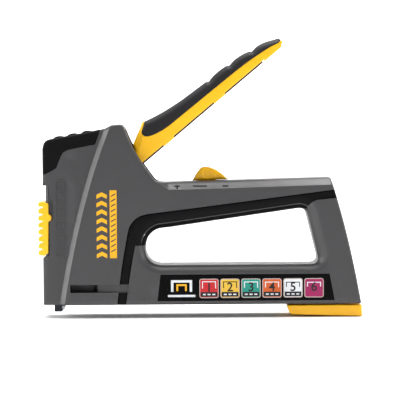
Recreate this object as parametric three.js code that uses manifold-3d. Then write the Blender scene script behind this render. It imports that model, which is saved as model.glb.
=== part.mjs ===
// Hand staple gun: squeeze lever, spring-driven striker, staple magazine and selector slide.
// Millimetres. +X runs from the nose to the rear, +Z is up, and the tool is the same on both sides of Y = 0.
// Z = 0 is the underside of the yellow foot, and X = 0 is half way along the tool.
import * as THREE from 'three';
import { mergeVertices } from 'three/addons/utils/BufferGeometryUtils.js';
import Module from 'manifold-3d';

const wasm = await Module();
wasm.setup();

// ---- driving sizes ------------------------------------------------------------------------------------
const overallLength = 199.6;      // selector teeth to the rear of the foot
const bodyWidth = 36;             // over both housing halves
const noseWidth = 30;             // over the narrower part in front of the slanted step
const undersideHeight = 8;        // underside of the housings above the ground
const handleHeight = 83.4;        // top of the handle, at its front end
const handleRise = 2.4;           // how much higher the handle's rear end is
const headRise = 36;              // top of the head above the handle's front end
const wall = 2.6;                 // housing walls
const clearance = 0.3;            // between pieces that slide or turn on each other
const fit = 0.15;                 // between pieces that are fixed to each other

const headLength = 50;            // front face to the head's top rear corner
const frontCornerRadius = 6.2;    // top front corner of the head
const frontFaceHeight = 20.8;     // front face's top edge above the handle top
const sideChamfer = 1.2;          // outer edges of the housings
const handleChamfer = 4.4;        // the wide chamfer along the handle's top
const stepDepth = (bodyWidth - noseWidth) / 2;

const openingFloor = 32.4;        // lower edge of the hand opening
const openingFront = 63;          // from the front face to the opening's rounded front end
const openingRearWall = 24.5;     // from the opening's lower rear corner to the rear edge of the body
const handleDepth = 28.4;         // handle top to the opening, at the front
const handleDepthRear = 18.4;     // and at the rear
const openingFrontHeight = handleHeight - handleDepth - openingFloor;  // the opening's rounded front end
const openingLean = 9.6;          // how far the opening's rear edge leans forward going up
const gripReach = 16.5;           // the soft grip's edge ahead of the opening
const gripProud = 0.3;            // how far the soft grip stands out of the housing
const gripSkin = 1.6;             // thickness of the soft grip on the sides
const gripLining = 2.5;           // and on the opening's rim

const leverLength = 130.7;        // pivot to the lever's tip
const leverWidth = 22;
const leverOpenAngle = 39.9;      // degrees above level, at rest
const pivotBack = 46.7;           // lever pivot behind the front face
const pivotRise = 4.6;            // lever pivot above the handle's front end
const pivotPinRadius = 3;
const leverWall = 2.1;            // side walls of the lever's plastic shell
const steelSheet = 1.5;           // the lever's steel channel
const hookReach = 24;             // pivot to the lifting nose of the lever
const hookRadius = 2.5;
const freePlay = 1.4;             // lever lift before it meets the striker's yoke

const bladeThickness = 1.2;
const bladeWidth = 12;
const bladeBack = 8.2;            // centre of the blade behind the front face
const strikerFloor = 44;          // underside of the striker block, at rest
const strikerHeight = (handleHeight - strikerFloor) * 0.35533;
const strikerWidth = 15.8;
const springRadius = 6.2;         // outer radius of the drive spring
const springWire = 2;
const springTurns = 8;

const channelWidth = 18;          // staple channel, outside
const channelHeight = 17.5;
const channelWall = 1.2;
const railWidth = 8.4;            // the rail that the staples straddle
const stapleCrown = 10.6;         // outside width of a staple
const stapleLeg = 10;
const stapleWire = 0.8;
const strip = 6.4;                // length of the staple strip that is left
const footLength = 46.6;
const footWidth = 30;
const footHeight = 7.2;
const noseDrop = 4.6;             // how far the nose tip stands below the housings

const selectorHeight = 34;        // the sliding selector
const selectorFloor = handleHeight - 45.3;
const selectorTravel = 9.4;
const selectorTeeth = 8;
const toothPitch = 4.3;
const toothThickness = 2.2;
const toothReach = 2.8;
const lockTravel = 7;             // lever lock, forward
const lockLength = 22;
const lockRise = 8.6;             // lock's thumb fin above the handle
const lockWidth = 10;
const screwHeadRadius = 3.1;
const screwHeadDepth = 2.4;
const screwRadius = 1.5;
const windowFloor = 15.7;         // lower edge of the staple window
const windowHeight = 4.9;
const padSkin = 2.3;              // the head bumper's thickness over the edge
const padCheek = 1.5;             // and on the sides
const padProud = 0.2;
const labelSkin = 0.6;

// ---- places worked out from them ----------------------------------------------------------------------
const frontX = -overallLength / 2 + toothReach;
const rearX = overallLength / 2 - 0.6;
const headTop = handleHeight + headRise;
const headRearX = frontX + headLength;
const handleFrontX = headRearX + 20;
const rearTopX = rearX - 18.5;
const handleRearTop = handleHeight + handleRise;
const pivot = new THREE.Vector2(frontX + pivotBack, handleHeight + pivotRise);
const throwOf = (angle) => hookReach * Math.sin(THREE.MathUtils.degToRad(angle));
const hookLowZ = pivot.y - throwOf(leverOpenAngle);
const yokeBarZ = hookLowZ + hookRadius + freePlay;
const bladeX = frontX + bladeBack;
const springX = frontX + springRadius + 7.2;
const headCavityHalf = (leverWidth + 1.2) / 2;
const handleCavityHalf = bodyWidth / 2 - wall - gripSkin;
const channelHalf = channelWidth / 2;
const channelTop = undersideHeight + 1 + channelHeight;
const headFloorZ = channelTop + 9.5;
const railTop = undersideHeight + 1.4 + stapleLeg;
const openingRearX = rearX - openingRearWall;
const openingUp = (share) => openingFloor + openingFrontHeight * share;
const side = bodyWidth / 2;
const noseSide = noseWidth / 2;
const screwTip = -side + 5.5;
const pivotPinHalf = side - 1.2;
const noseTipHalf = 7.6;
const noseTipX = frontX + 6.4;
const channelFront = frontX + 12.4;
const frontPlateX = frontX + 1.8;
const frontPlateHalf = noseSide - 2.4;
const faceTopZ = handleHeight + frontFaceHeight;
const roofSlope = (headTop - 2.6 - faceTopZ - frontCornerRadius) / (headLength - 16.1);
const padRibs = 3;
const padRibPitch = 8.7;
const padRibRadius = 4.8;
const padRibHeight = 0.9;
const frontPlateLow = undersideHeight + 2;
const frontPlateHigh = selectorFloor + selectorHeight + selectorTravel + 2;
const frontPlateSheet = 1.6;
const noseTipTop = undersideHeight + 1.2;
const channelLow = undersideHeight + 1;
const nosePinX = frontX + 12;
const nosePinZ = undersideHeight - 2.1;
const nosePinRadius = 1.1;
const windowFront = frontX + 16.8;
const windowRear = frontX + 33.6;
const springTopZ = faceTopZ - 1.4;
const yokeX0 = springX + springRadius + 0.6;
const yokeX1 = pivot.x - 19.5;
const yokeMidX = (yokeX0 + yokeX1) / 2;
const rivetZ = strikerFloor + strikerHeight / 2;
const strikerPin = 1.5;           // radius of the blade's rivet and the yoke's pin
const armHalf = 3.6;
const armRivetU = 24;             // the rivet through the lift arm, from the pivot along the lever
const armRivetV = -0.4;
const armRivetRadius = 1.6;
const leverCoreHalf = leverWidth / 2 - leverWall - 0.2;
const leverFront = 9;             // front edge of the plastic shell, from the pivot
const leverUnderside = -3.8;
const leverTabBottom = -4.9;
const leverBack = 9;              // height of the lever's back over the pivot line
const leverDroop = 7;             // how far the back falls towards the tip
const leverRoof = 3.9;            // inside height of the plastic shell
const leverRoofBend = leverLength * 0.57;
const leverChannelEnd = leverLength - 17.5;
const leverGripSkin = 2.3;
const leverGripCheek = 2;
const leverWaves = 3;             // finger grooves
const waveStart = leverLength - 52.5;
const waveNotch = 1.9;
const waveNotchDepth = 1;
const leverTabs = [[leverFront + 24, leverFront + 32.6], [leverLength - 56.9, leverLength - 47.8],
  [leverLength - 15.7, leverLength - 2.1]];
const clawBack = 40;              // the catch claw, from the pivot along the lever
const clawReach = 47.5;
const clawLow = -3.2;
const lockX = handleFrontX + 22.5;
const lockNeckHalf = 3.3;
const lockFootHalf = 6.5;
const lockFootZ = handleHeight - 4.9;
const lockFootSheet = 2;
const lockBarX = lockX + 7;
const lockBarZ = handleHeight + 7.2;
const lockBarRadius = 1.2;
const selectorStemEnd = frontPlateX + frontPlateSheet + 0.65;
const footRear = overallLength / 2;
const footSlope = 1.3;            // the foot's underside falls this much towards the rear
const railLow = undersideHeight + 1.4;
const railFront = bladeX + bladeThickness / 2 + 0.8;
const railRear = rearX - 7;
const rodZ = railTop + 2.9;
const rodRadius = 1.1;
const endBlockTop = channelTop - channelWall - clearance;
const footPinX = rearX - 8.4;
const footPinZ = undersideHeight + 6.5;
const footPinRadius = 1;
const pusherX = railFront + strip + clearance;
const pusherLength = 15;
const smooth = 6;                 // straight pieces in a curve

// ---- shapes and solids --------------------------------------------------------------------------------
function toSolid(geometry) {
  const plain = geometry.clone();
  plain.deleteAttribute('normal');
  plain.deleteAttribute('uv');
  const places = plain.attributes.position.array;
  places.forEach((value, i) => {
    places[i] = Math.round(value * 1e4) / 1e4;
  });
  const merged = mergeVertices(plain, 1e-5);
  const positions = new Float32Array(merged.attributes.position.array);
  const indices = new Uint32Array(merged.index.array);
  return new wasm.Manifold(new wasm.Mesh({ numProp: 3, vertProperties: positions, triVerts: indices }));
}

function outline(points) {
  return new THREE.Shape(points.map(([x, z]) => new THREE.Vector2(x, z)));
}

// A side outline in X and Z, made solid between two Y values.
function slab(shape, y0, y1, segments = smooth) {
  const geometry = new THREE.ExtrudeGeometry(shape, {
    depth: y1 - y0,
    bevelEnabled: false,
    curveSegments: segments,
  });
  geometry.rotateX(Math.PI / 2);
  geometry.translate(0, y1, 0);
  return toSolid(geometry);
}

// The same with both outer edges chamfered.
function chamferedSlab(shape, half, chamfer, segments = smooth) {
  const geometry = new THREE.ExtrudeGeometry(shape, {
    depth: 2 * (half - chamfer),
    bevelEnabled: true,
    bevelSize: chamfer,
    bevelOffset: -chamfer,
    bevelThickness: chamfer,
    bevelSegments: 1,
    curveSegments: segments,
  });
  geometry.rotateX(Math.PI / 2);
  geometry.translate(0, half - chamfer, 0);
  return toSolid(geometry);
}

function box(x0, x1, y0, y1, z0, z1) {
  const geometry = new THREE.BoxGeometry(x1 - x0, y1 - y0, z1 - z0);
  geometry.translate((x0 + x1) / 2, (y0 + y1) / 2, (z0 + z1) / 2);
  return toSolid(geometry);
}

// Round bars along Y, Z and X.
function crossBar(x, z, radius, y0, y1, sides = 20) {
  const geometry = new THREE.CylinderGeometry(radius, radius, y1 - y0, sides);
  geometry.translate(x, (y0 + y1) / 2, z);
  return toSolid(geometry);
}

function post(x, y, radius, z0, z1, sides = 20) {
  const geometry = new THREE.CylinderGeometry(radius, radius, z1 - z0, sides);
  geometry.rotateX(Math.PI / 2);
  geometry.translate(x, y, (z0 + z1) / 2);
  return toSolid(geometry);
}

function longBar(y, z, radius, x0, x1, sides = 16) {
  const geometry = new THREE.CylinderGeometry(radius, radius, x1 - x0, sides);
  geometry.rotateZ(Math.PI / 2);
  geometry.translate((x0 + x1) / 2, y, z);
  return toSolid(geometry);
}

// Shortest distance from a point to a closed outline.
function distanceTo(points, p) {
  let nearest = Infinity;
  points.forEach((a, i) => {
    const span = points[(i + 1) % points.length].clone().sub(a);
    const along = THREE.MathUtils.clamp(p.clone().sub(a).dot(span) / span.lengthSq(), 0, 1);
    nearest = Math.min(nearest, a.clone().addScaledVector(span, along).distanceTo(p));
  });
  return nearest;
}

// A closed outline moved inwards, or outwards where the distance is below zero. Points of small
// corners that the move swallows are left out.
function inset(shape, distance) {
  if (distance === 0) return shape;
  const drawn = shape.getPoints(smooth);
  const points = drawn.filter((p, i) => p.distanceTo(drawn[(i + 1) % drawn.length]) > 1e-3);
  const turn = Math.sign(THREE.ShapeUtils.area(points));
  const moved = points.map((p, i) => {
    const before = p.clone().sub(points[(i + points.length - 1) % points.length]).normalize();
    const after = points[(i + 1) % points.length].clone().sub(p).normalize();
    const inward = new THREE.Vector2(-before.y - after.y, before.x + after.x).normalize();
    inward.multiplyScalar(turn);
    const square = new THREE.Vector2(-before.y, before.x).multiplyScalar(turn);
    return p.clone().addScaledVector(inward, distance / Math.max(inward.dot(square), 0.4));
  });
  return new THREE.Shape(moved.filter((p) => distanceTo(points, p) > Math.abs(distance) * 0.97));
}

class Helix extends THREE.Curve {
  constructor(radius, length, turns) {
    super();
    Object.assign(this, { radius, length, turns });
  }

  getPoint(t, target = new THREE.Vector3()) {
    const angle = 2 * Math.PI * this.turns * t;
    return target.set(this.radius * Math.cos(angle), this.radius * Math.sin(angle), this.length * t);
  }
}

// A coil spring standing on Z = 0, measured over the wire.
function coil(outerRadius, wire, height, turns, stepsPerTurn = 12, wireSides = 6) {
  const section = new THREE.Shape();
  section.absarc(0, 0, wire / 2, 0, 2 * Math.PI);
  const geometry = new THREE.ExtrudeGeometry(section, {
    steps: Math.round(turns * stepsPerTurn),
    extrudePath: new Helix(outerRadius - wire / 2, height - wire, turns),
    curveSegments: wireSides,
    bevelEnabled: false,
  });
  geometry.translate(0, 0, wire / 2);
  return geometry;
}

// ---- side outlines ------------------------------------------------------------------------------------
function bodyShape() {
  const shape = new THREE.Shape();
  const faceTop = handleHeight + frontFaceHeight;
  const roofZ = faceTop + frontCornerRadius;
  shape.moveTo(frontX, undersideHeight);
  shape.lineTo(rearX, undersideHeight);
  shape.quadraticCurveTo(rearX - 7.3, undersideHeight + 42.7, rearTopX, handleRearTop);
  shape.lineTo(handleFrontX + 8.5, handleHeight + 0.1);
  shape.quadraticCurveTo(handleFrontX + 2, handleHeight - 0.4, handleFrontX - 0.8, handleHeight + 1.5);
  shape.quadraticCurveTo(headRearX + 7, headTop - 18.9, headRearX + 0.9, headTop - 2.7);
  shape.quadraticCurveTo(headRearX - 0.4, headTop, headRearX - 2.6, headTop);
  shape.lineTo(headRearX - 7, headTop - 0.4);
  shape.quadraticCurveTo(headRearX - 9.5, headTop - 1.8, headRearX - 11.5, headTop - 2.6);
  shape.lineTo(frontX + frontCornerRadius - 1.6, roofZ);
  shape.quadraticCurveTo(frontX + 0.6, roofZ - 0.6, frontX, faceTop);
  shape.closePath();
  return shape;
}

function openingShape() {
  const shape = new THREE.Shape();
  const endX = frontX + openingFront;
  const endTop = openingFloor + openingFrontHeight;
  const topRear = handleRearTop - handleDepthRear;
  const leanX = openingRearX - openingLean;
  shape.moveTo(endX + 9.5, openingFloor);
  shape.lineTo(openingRearX - 6.5, openingFloor);
  shape.quadraticCurveTo(openingRearX - 1.5, openingFloor + 0.2, openingRearX - 2.2, openingFloor + 5);
  shape.lineTo(leanX + 1.1, topRear - 4.6);
  shape.quadraticCurveTo(leanX, topRear, leanX - 5, topRear - 0.6);
  shape.lineTo(endX + 15.5, handleHeight - handleDepth + 0.7);
  shape.lineTo(endX + 9, endTop);
  shape.quadraticCurveTo(endX + 0.6, endTop - 2.6, endX + 0.1, openingUp(0.46));
  shape.quadraticCurveTo(endX + 0.6, openingFloor + 1.2, endX + 9.5, openingFloor);
  shape.closePath();
  return shape;
}

// The soft grip's outer edge runs from the underside up round the front of the opening and along the handle.
function gripShape(grow = 0) {
  const endX = frontX + openingFront;
  const bend = endX - gripReach + 7.4;
  const low = undersideHeight - 2 - grow;
  const shape = new THREE.Shape();
  const pointZ = openingUp(0.544);
  shape.moveTo(endX - gripReach - 0.9 - grow, low);
  shape.quadraticCurveTo(endX - 14.4 - grow, openingFloor + 2, bend - 0.8 - grow, handleHeight - 28.6);
  const topZ = handleHeight + grow;
  shape.quadraticCurveTo(bend + 2.2 - grow, topZ - 20.6, bend + 11.5, topZ - 19.4);
  shape.lineTo(bend + 42, topZ - 15.7);
  shape.lineTo(rearTopX + 8 + grow, handleRearTop - 6.8 + grow);
  shape.lineTo(rearTopX + 8 + grow, handleRearTop - 12 - grow);
  shape.lineTo(rearTopX - 8.5, handleRearTop - 13.6 - grow);
  const lowZ = handleRearTop - grow;
  shape.quadraticCurveTo(rearTopX - 13.4 + grow, lowZ - 15.2, rearTopX - 15, lowZ - 19);
  shape.lineTo(endX + 24, openingUp(0.956));
  shape.lineTo(endX + 12, openingUp(0.796));
  shape.lineTo(endX + 4, pointZ - grow);
  shape.lineTo(endX - 6.1 + grow, pointZ - grow);
  shape.quadraticCurveTo(endX - 9.4 + grow, openingFloor - 4, endX - 12.2 + grow, low);
  shape.closePath();
  return shape;
}

// Height of the head's sloping top at a place along it.
function roofAt(x) {
  return faceTopZ + frontCornerRadius + (x - frontX - 4.6) * roofSlope;
}

// The bumper over the head's top front corner, drawn past the head's own edges.
function padShape(grow = 0) {
  const z = handleHeight;
  return outline([
    [frontX - 4, z + 5 - grow],
    [frontX + 1.7 + grow * 0.4, z + 5.5 - grow],
    [frontX + 8.6 + grow * 0.4, z + 9.3 - grow],
    [frontX + 11.2 + grow, z + 16.2 - grow],
    [frontX + 13, z + 19 - grow],
    [frontX + 16.4, z + 20.6 - grow],
    [frontX + 32.6 + grow, z + 23.7 - grow],
    [frontX + 35.4 + grow, z + 31.5],
    [frontX + 36.4 + grow, z + 37],
    [frontX - 4, z + 37],
  ]);
}

// Everything ahead of the slanted step, at the nose's own width.
function noseShape() {
  const shape = new THREE.Shape();
  shape.moveTo(frontX - 10, undersideHeight - 9);
  shape.lineTo(frontX + 8.7, undersideHeight - 9);
  shape.quadraticCurveTo(frontX + 19, handleHeight - 15.5, frontX + 37.6, handleHeight + 30.9);
  shape.lineTo(frontX + 40.7, headTop + 3);
  shape.lineTo(frontX - 10, headTop + 3);
  shape.closePath();
  return shape;
}

function labelShape(grow = 0) {
  const left = frontX + openingFront + 9.6;
  return outline([
    [left - 2 - grow, undersideHeight + 2.4 - grow],
    [openingRearX + 7.8 + grow, undersideHeight + 2.4 - grow],
    [openingRearX + 4.8 + grow, openingFloor - 5.9 + grow],
    [left - grow, openingFloor - 5.9 + grow],
  ]);
}

// ---- housings -----------------------------------------------------------------------------------------
const screwPlaces = [
  { x: frontX + 31, z: channelTop + 5, face: side },
  { x: frontX + 63, z: handleHeight - 11.4, face: side },
  { x: rearTopX - 1.5, z: handleHeight - 22.4, face: side },
  { x: rearX - 13.5, z: channelTop + 4.5, face: side },
  { x: frontX + 28, z: handleHeight + 15.6, face: noseSide },
];

// A cutter for both sides of the body: the outline at one width, grown by the same amount further out.
function sideCutters(shape, innerHalf, growth, segments = smooth) {
  const depth = 8;
  const geometry = new THREE.ExtrudeGeometry(shape, {
    depth,
    bevelEnabled: true,
    bevelSize: growth,
    bevelThickness: growth,
    bevelSegments: 1,
    curveSegments: segments,
  });
  geometry.rotateX(Math.PI / 2);
  const right = geometry.clone().translate(0, innerHalf + growth + depth, 0);
  const left = geometry.clone().translate(0, -innerHalf - growth, 0);
  return toSolid(right).add(toSolid(left));
}

function bothSides(shape, inner, outer) {
  return slab(shape, inner, outer).add(slab(shape, -outer, -inner));
}

// The hollows inside both halves, each inside the walls.
function hollows() {
  const within = inset(bodyShape(), wall);
  const backOfHead = frontX + 34.5;
  const head = outline([
    [frontX + 5.4, headFloorZ], [backOfHead, headFloorZ], [backOfHead, roofAt(backOfHead) - wall - padSkin],
    [frontX + 7.6, roofAt(frontX + 7.6) - wall - padSkin], [frontX + 5.4, faceTopZ - 0.5],
  ]);
  const frontPost = outline([
    [frontX + 38, headFloorZ - 4], [frontX + 43, headFloorZ - 4], [frontX + 45.6, openingUp(0.796)],
    [frontX + 50, handleHeight - 18], [frontX + 50, handleHeight - 14.5], [frontX + 38, handleHeight - 14.5],
  ]);
  const handle = outline([
    [frontX + 69.5, handleHeight - 17.2], [rearTopX - 11, handleRearTop - 11.4],
    [rearTopX - 11, handleRearTop + 6], [frontX + 69.5, handleRearTop + 6],
  ]);
  const rearPost = outline([
    [openingRearX + 3, channelTop + 11.5], [rearX + 6, channelTop + 11.5], [rearX + 6, handleHeight - 29],
    [openingRearX + 0.5, handleHeight - 29],
  ]);
  const handleHalf = handleCavityHalf - handleChamfer * 0.5;
  const ribs = [lockX - lockTravel - 0.6, lockX + lockLength - 1.4].map((x) => (
    box(x, x + 2, -side, side, 0, lockFootZ - 3.2)
  ));
  return slab(frontPost, -handleCavityHalf, handleCavityHalf)
    .add(slab(handle, -handleHalf, handleHalf).subtract(ribs[0]).subtract(ribs[1]))
    .add(slab(rearPost, -handleCavityHalf, handleCavityHalf))
    .intersect(slab(within, -handleCavityHalf, handleCavityHalf))
    .add(slab(head, -headCavityHalf, headCavityHalf));
}

// Where the lever swings: the slot in the head's rear face, down to the handle's top.
function leverSlot() {
  const floor = handleHeight + 0.2;
  const swing = outline([
    [pivot.x - 14, pivot.y - 17], [pivot.x - 5, pivot.y - 14], [pivot.x + 8, pivot.y - 12.5],
    [pivot.x + 15, floor], [handleFrontX + 30, floor + 1], [handleFrontX + 30, headTop + 8],
    [headRearX + 12, headTop + 8], [headRearX - 3, headTop - 7], [pivot.x - 14, headTop - 9],
  ]);
  return slab(swing, -headCavityHalf, headCavityHalf);
}

// The step in the front face that the selector slides in, with room for its pointers.
function selectorNotch() {
  const low = selectorFloor - 0.9;
  const high = selectorFloor + selectorHeight + selectorTravel + clearance;
  const nubLow = selectorFloor + 21.4;
  const nubHigh = nubLow + 4.9 + selectorTravel;
  const notch = outline([
    [frontX - 6, low], [frontX + 0.6, low], [frontX + 4.2, low + 1.6], [frontX + 4.3, nubLow],
    [frontX + 6.4, nubLow + 1.6], [frontX + 6.4, nubHigh - 1.6], [frontX + 4.6, nubHigh],
    [frontX + 4.1, high - 0.6], [frontX + 0.2, high + 2.2], [frontX - 6, high + 2.2],
  ]);
  const frontGap = box(frontX - 6, frontX + 4.2, -noseSide + 2.2, noseSide - 2.2, low, high);
  return bothSides(notch, noseSide - 2.4, side + 1).add(frontGap);
}

// The slot that shows the staples, and the long shallow scoop that runs back from it.
function staplesWindow() {
  const x1 = windowRear;
  const scoop = (sign) => {
    const shape = new THREE.Shape([
      new THREE.Vector2(x1 - 0.5, sign * (side + 1)),
      new THREE.Vector2(x1 - 0.5, sign * (side - 3.2)),
      new THREE.Vector2(x1 + 28, sign * (side + 0.6)),
      new THREE.Vector2(x1 + 28, sign * (side + 1)),
    ]);
    const geometry = new THREE.ExtrudeGeometry(shape, { depth: windowHeight, bevelEnabled: false });
    geometry.translate(0, 0, windowFloor);
    return toSolid(geometry);
  };
  return box(windowFront, x1, -side - 1, side + 1, windowFloor, windowFloor + windowHeight)
    .add(scoop(1))
    .add(scoop(-1));
}

function gripOpening() {
  const hole = slab(openingShape(), -side - 2, side + 2);
  const rim = slab(inset(openingShape(), -gripLining), -side - 1, side + 1);
  return { hole, rim };
}

// Both halves together, before they are parted along the middle.
function wholeHousing() {
  let body = chamferedSlab(bodyShape(), side, sideChamfer);
  const handleTopShape = outline([
    [handleFrontX + 0.5, handleHeight], [rearTopX + 20, handleRearTop + handleRise * 0.2],
    [rearTopX + 20, headTop], [handleFrontX + 0.5, headTop],
  ]);
  body = body.subtract(sideCutters(noseShape(), noseSide, stepDepth, 10));
  body = body.subtract(sideCutters(handleTopShape, side - handleChamfer, handleChamfer));
  body = body.subtract(hollows().subtract(crossBar(screwPlaces[4].x, screwPlaces[4].z, 4.4, -side, side)));
  body = body.subtract(leverSlot());
  // the soft grip's bed: skins on both sides, and the lining round the opening
  const bed = slab(gripShape(fit), -side - 1, side + 1);
  const { hole, rim } = gripOpening();
  const core = box(frontX, rearX + 9, -side + gripSkin + fit, side - gripSkin - fit, 0, headTop);
  const liningBed = slab(inset(openingShape(), -gripLining - fit), -side - 1, side + 1);
  body = body.subtract(bed.subtract(core.subtract(liningBed)));
  body = body.subtract(hole);
  // the bumper's bed
  const padCoreHalf = noseSide - padCheek - fit;
  const padCore = slab(inset(bodyShape(), padSkin + fit), -padCoreHalf, padCoreHalf);
  body = body.subtract(slab(padShape(fit), -side, side).subtract(padCore));
  // magazine, blade and nose
  const ceiling = channelTop + fit;
  const bladeRoom = bladeWidth / 2 + 0.6;
  const tipRoom = noseTipHalf + fit;
  body = body.subtract(box(channelFront - 0.1, rearX + 5, -channelHalf - fit, channelHalf + fit, 0, ceiling));
  body = body.subtract(box(bladeX - 1.2, channelFront, -bladeRoom, bladeRoom, 0, headFloorZ + 1));
  body = body.subtract(box(noseTipX - 0.2, channelFront, -tipRoom, tipRoom, 0, ceiling));
  body = body.subtract(selectorNotch());
  body = body.subtract(frontPlateBed());
  body = body.subtract(staplesWindow());
  body = body.subtract(bothSides(labelShape(fit), side - labelSkin - fit, side + 1));
  const pinRoom = pivotPinHalf + fit;
  body = body.subtract(crossBar(pivot.x, pivot.y, pivotPinRadius + fit, -pinRoom, pinRoom));
  body = body.subtract(lockSlot());
  for (const place of screwPlaces) {
    body = body.subtract(crossBar(place.x, place.z, screwRadius + fit, screwTip - 0.5, place.face + 1, 12));
    const head = place.face - screwHeadDepth - fit - 0.2;
    body = body.subtract(crossBar(place.x, place.z, screwHeadRadius + 0.3, head, side + 4, 16));
  }
  return body;
}

function frontPlateBed() {
  const half = frontPlateHalf + fit;
  const x0 = frontPlateX - fit;
  return box(x0, frontPlateX + frontPlateSheet + fit, -half, half, frontPlateLow - fit, frontPlateHigh + fit);
}

function lockSlot() {
  const from = lockX - lockTravel - 1;
  const to = lockX + lockLength + 1;
  const neck = box(from + 2, to - 5, -lockNeckHalf - clearance, lockNeckHalf + clearance, lockFootZ, headTop);
  const half = lockFootHalf + clearance;
  return neck.add(box(from, to, -half, half, lockFootZ - 3.2, lockFootZ + lockFootSheet + clearance));
}

function housings() {
  const whole = wholeHousing();
  const far = 2 * overallLength;
  return {
    left: whole.subtract(box(-far, far, 0, far, -far, far)),
    right: whole.subtract(box(-far, far, -far, 0, -far, far)),
  };
}

function housingScrew(place) {
  const seat = place.face - screwHeadDepth;
  const recess = crossBar(place.x, place.z, 1.2, place.face - 1.3, place.face + 1, 6);
  return crossBar(place.x, place.z, screwHeadRadius, seat, place.face - 0.4, 16)
    .subtract(recess)
    .add(crossBar(place.x, place.z, screwRadius, screwTip, seat + 0.5, 12));
}

// ---- soft mouldings and labels on the housings --------------------------------------------------------
function handGrip() {
  const { hole, rim } = gripOpening();
  const core = box(frontX, rearX + 9, -side + gripSkin, side - gripSkin, 0, headTop);
  const skins = slab(gripShape(), -side - gripProud, side + gripProud).subtract(core.subtract(rim));
  const scoop = bothSides(outline([
    [frontX, windowFloor - fit], [frontX + 64, windowFloor - fit],
    [frontX + 64, windowFloor + windowHeight + fit], [frontX, windowFloor + windowHeight + fit],
  ]), side - 1, side + 2);
  return skins.intersect(slab(bodyShape(), -side - 1, side + 1)).subtract(hole).subtract(scoop);
}

function headBumper() {
  const half = noseSide + padProud;
  const core = slab(inset(bodyShape(), padSkin), -noseSide + padCheek, noseSide - padCheek);
  let pad = slab(padShape(), -half, half).intersect(slab(bodyShape(), -half, half));
  for (let i = 0; i < padRibs; i += 1) {
    const x = frontX + 10.2 + i * padRibPitch;
    const drop = padRibRadius - padRibHeight;
    pad = pad.add(crossBar(x, roofAt(x) - drop, padRibRadius, -noseSide + 2, noseSide - 2, 28));
  }
  return pad.subtract(core);
}

function label(sign) {
  const inner = side - labelSkin;
  const outer = side - 0.1;
  return sign > 0 ? slab(labelShape(), inner, outer) : slab(labelShape(), -outer, -inner);
}

// ---- steel and rubber pieces fixed in the housings ----------------------------------------------------
function frontPlate() {
  const low = selectorFloor + 11;
  const slot = box(frontX, frontX + 6, -3.6, 3.6, low, low + 6.6 + selectorTravel);
  const x1 = frontPlateX + frontPlateSheet;
  return box(frontPlateX, x1, -frontPlateHalf, frontPlateHalf, frontPlateLow, frontPlateHigh).subtract(slot);
}

function noseTip() {
  const low = undersideHeight - noseDrop;
  const side0 = outline([
    [noseTipX, low + 0.5], [noseTipX + 0.5, low], [frontX + 10.7, low], [frontX + 11.8, low + 0.9],
    [frontX + 12.1, low + 3], [frontX + 12.1, noseTipTop], [noseTipX, noseTipTop],
  ]);
  const gap = bladeThickness / 2 + 0.2;
  const guide = box(noseTipX, bladeX - gap, -noseTipHalf, noseTipHalf, low + 1, channelTop);
  return slab(side0, -noseTipHalf, noseTipHalf)
    .add(guide)
    .subtract(box(bladeX - gap, bladeX + gap, -bladeWidth / 2 - 0.3, bladeWidth / 2 + 0.3, 0, noseTipTop + 1))
    .subtract(crossBar(nosePinX, nosePinZ, nosePinRadius + fit, -noseTipHalf - 1, noseTipHalf + 1, 16));
}

function magazineChannel() {
  const x0 = channelFront;
  const x1 = rearX - 4.2;
  const inner = channelHalf - channelWall;
  return box(x0, x1, -channelHalf, channelHalf, channelLow, channelTop)
    .subtract(box(x0 - 1, x1 + 1, -inner, inner, channelLow - 1, channelTop - channelWall))
    .subtract(box(windowFront, windowRear, -side, side, windowFloor, windowFloor + windowHeight));
}

function pivotPin() {
  return crossBar(pivot.x, pivot.y, pivotPinRadius, -pivotPinHalf, pivotPinHalf, 24);
}

function springCap() {
  return post(springX, 0, springRadius + 0.4, springTopZ, springTopZ + 2, 24)
    .add(post(springX, 0, springRadius - springWire - 0.5, springTopZ - 6, springTopZ + 1, 16));
}

function strikerBuffer() {
  const half = headCavityHalf - 2;
  return box(bladeX + 2.2, yokeX1, -half, half, headFloorZ + fit, strikerFloor - clearance);
}

function lockLeaf() {
  const x0 = lockX - lockTravel;
  const x1 = lockX + lockLength;
  const low = lockFootZ - 3.2 + fit;
  const shape = new THREE.Shape();
  shape.moveTo(x0, low);
  shape.quadraticCurveTo((x0 + x1) / 2, low + 4.6, x1, low);
  shape.lineTo(x1, low + 0.6);
  shape.quadraticCurveTo((x0 + x1) / 2, low + 5.2, x0, low + 0.6);
  shape.closePath();
  return slab(shape, -4, 4);
}

// ---- lever, drawn level with its pivot at the origin --------------------------------------------------
// Height of the lever's back over the fingers, drooping towards the tip.
function leverCrest(u) {
  const along = Math.max(0, (u - waveStart) / (leverLength - 4 - waveStart));
  return leverBack - leverDroop * along ** 2.3;
}

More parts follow.
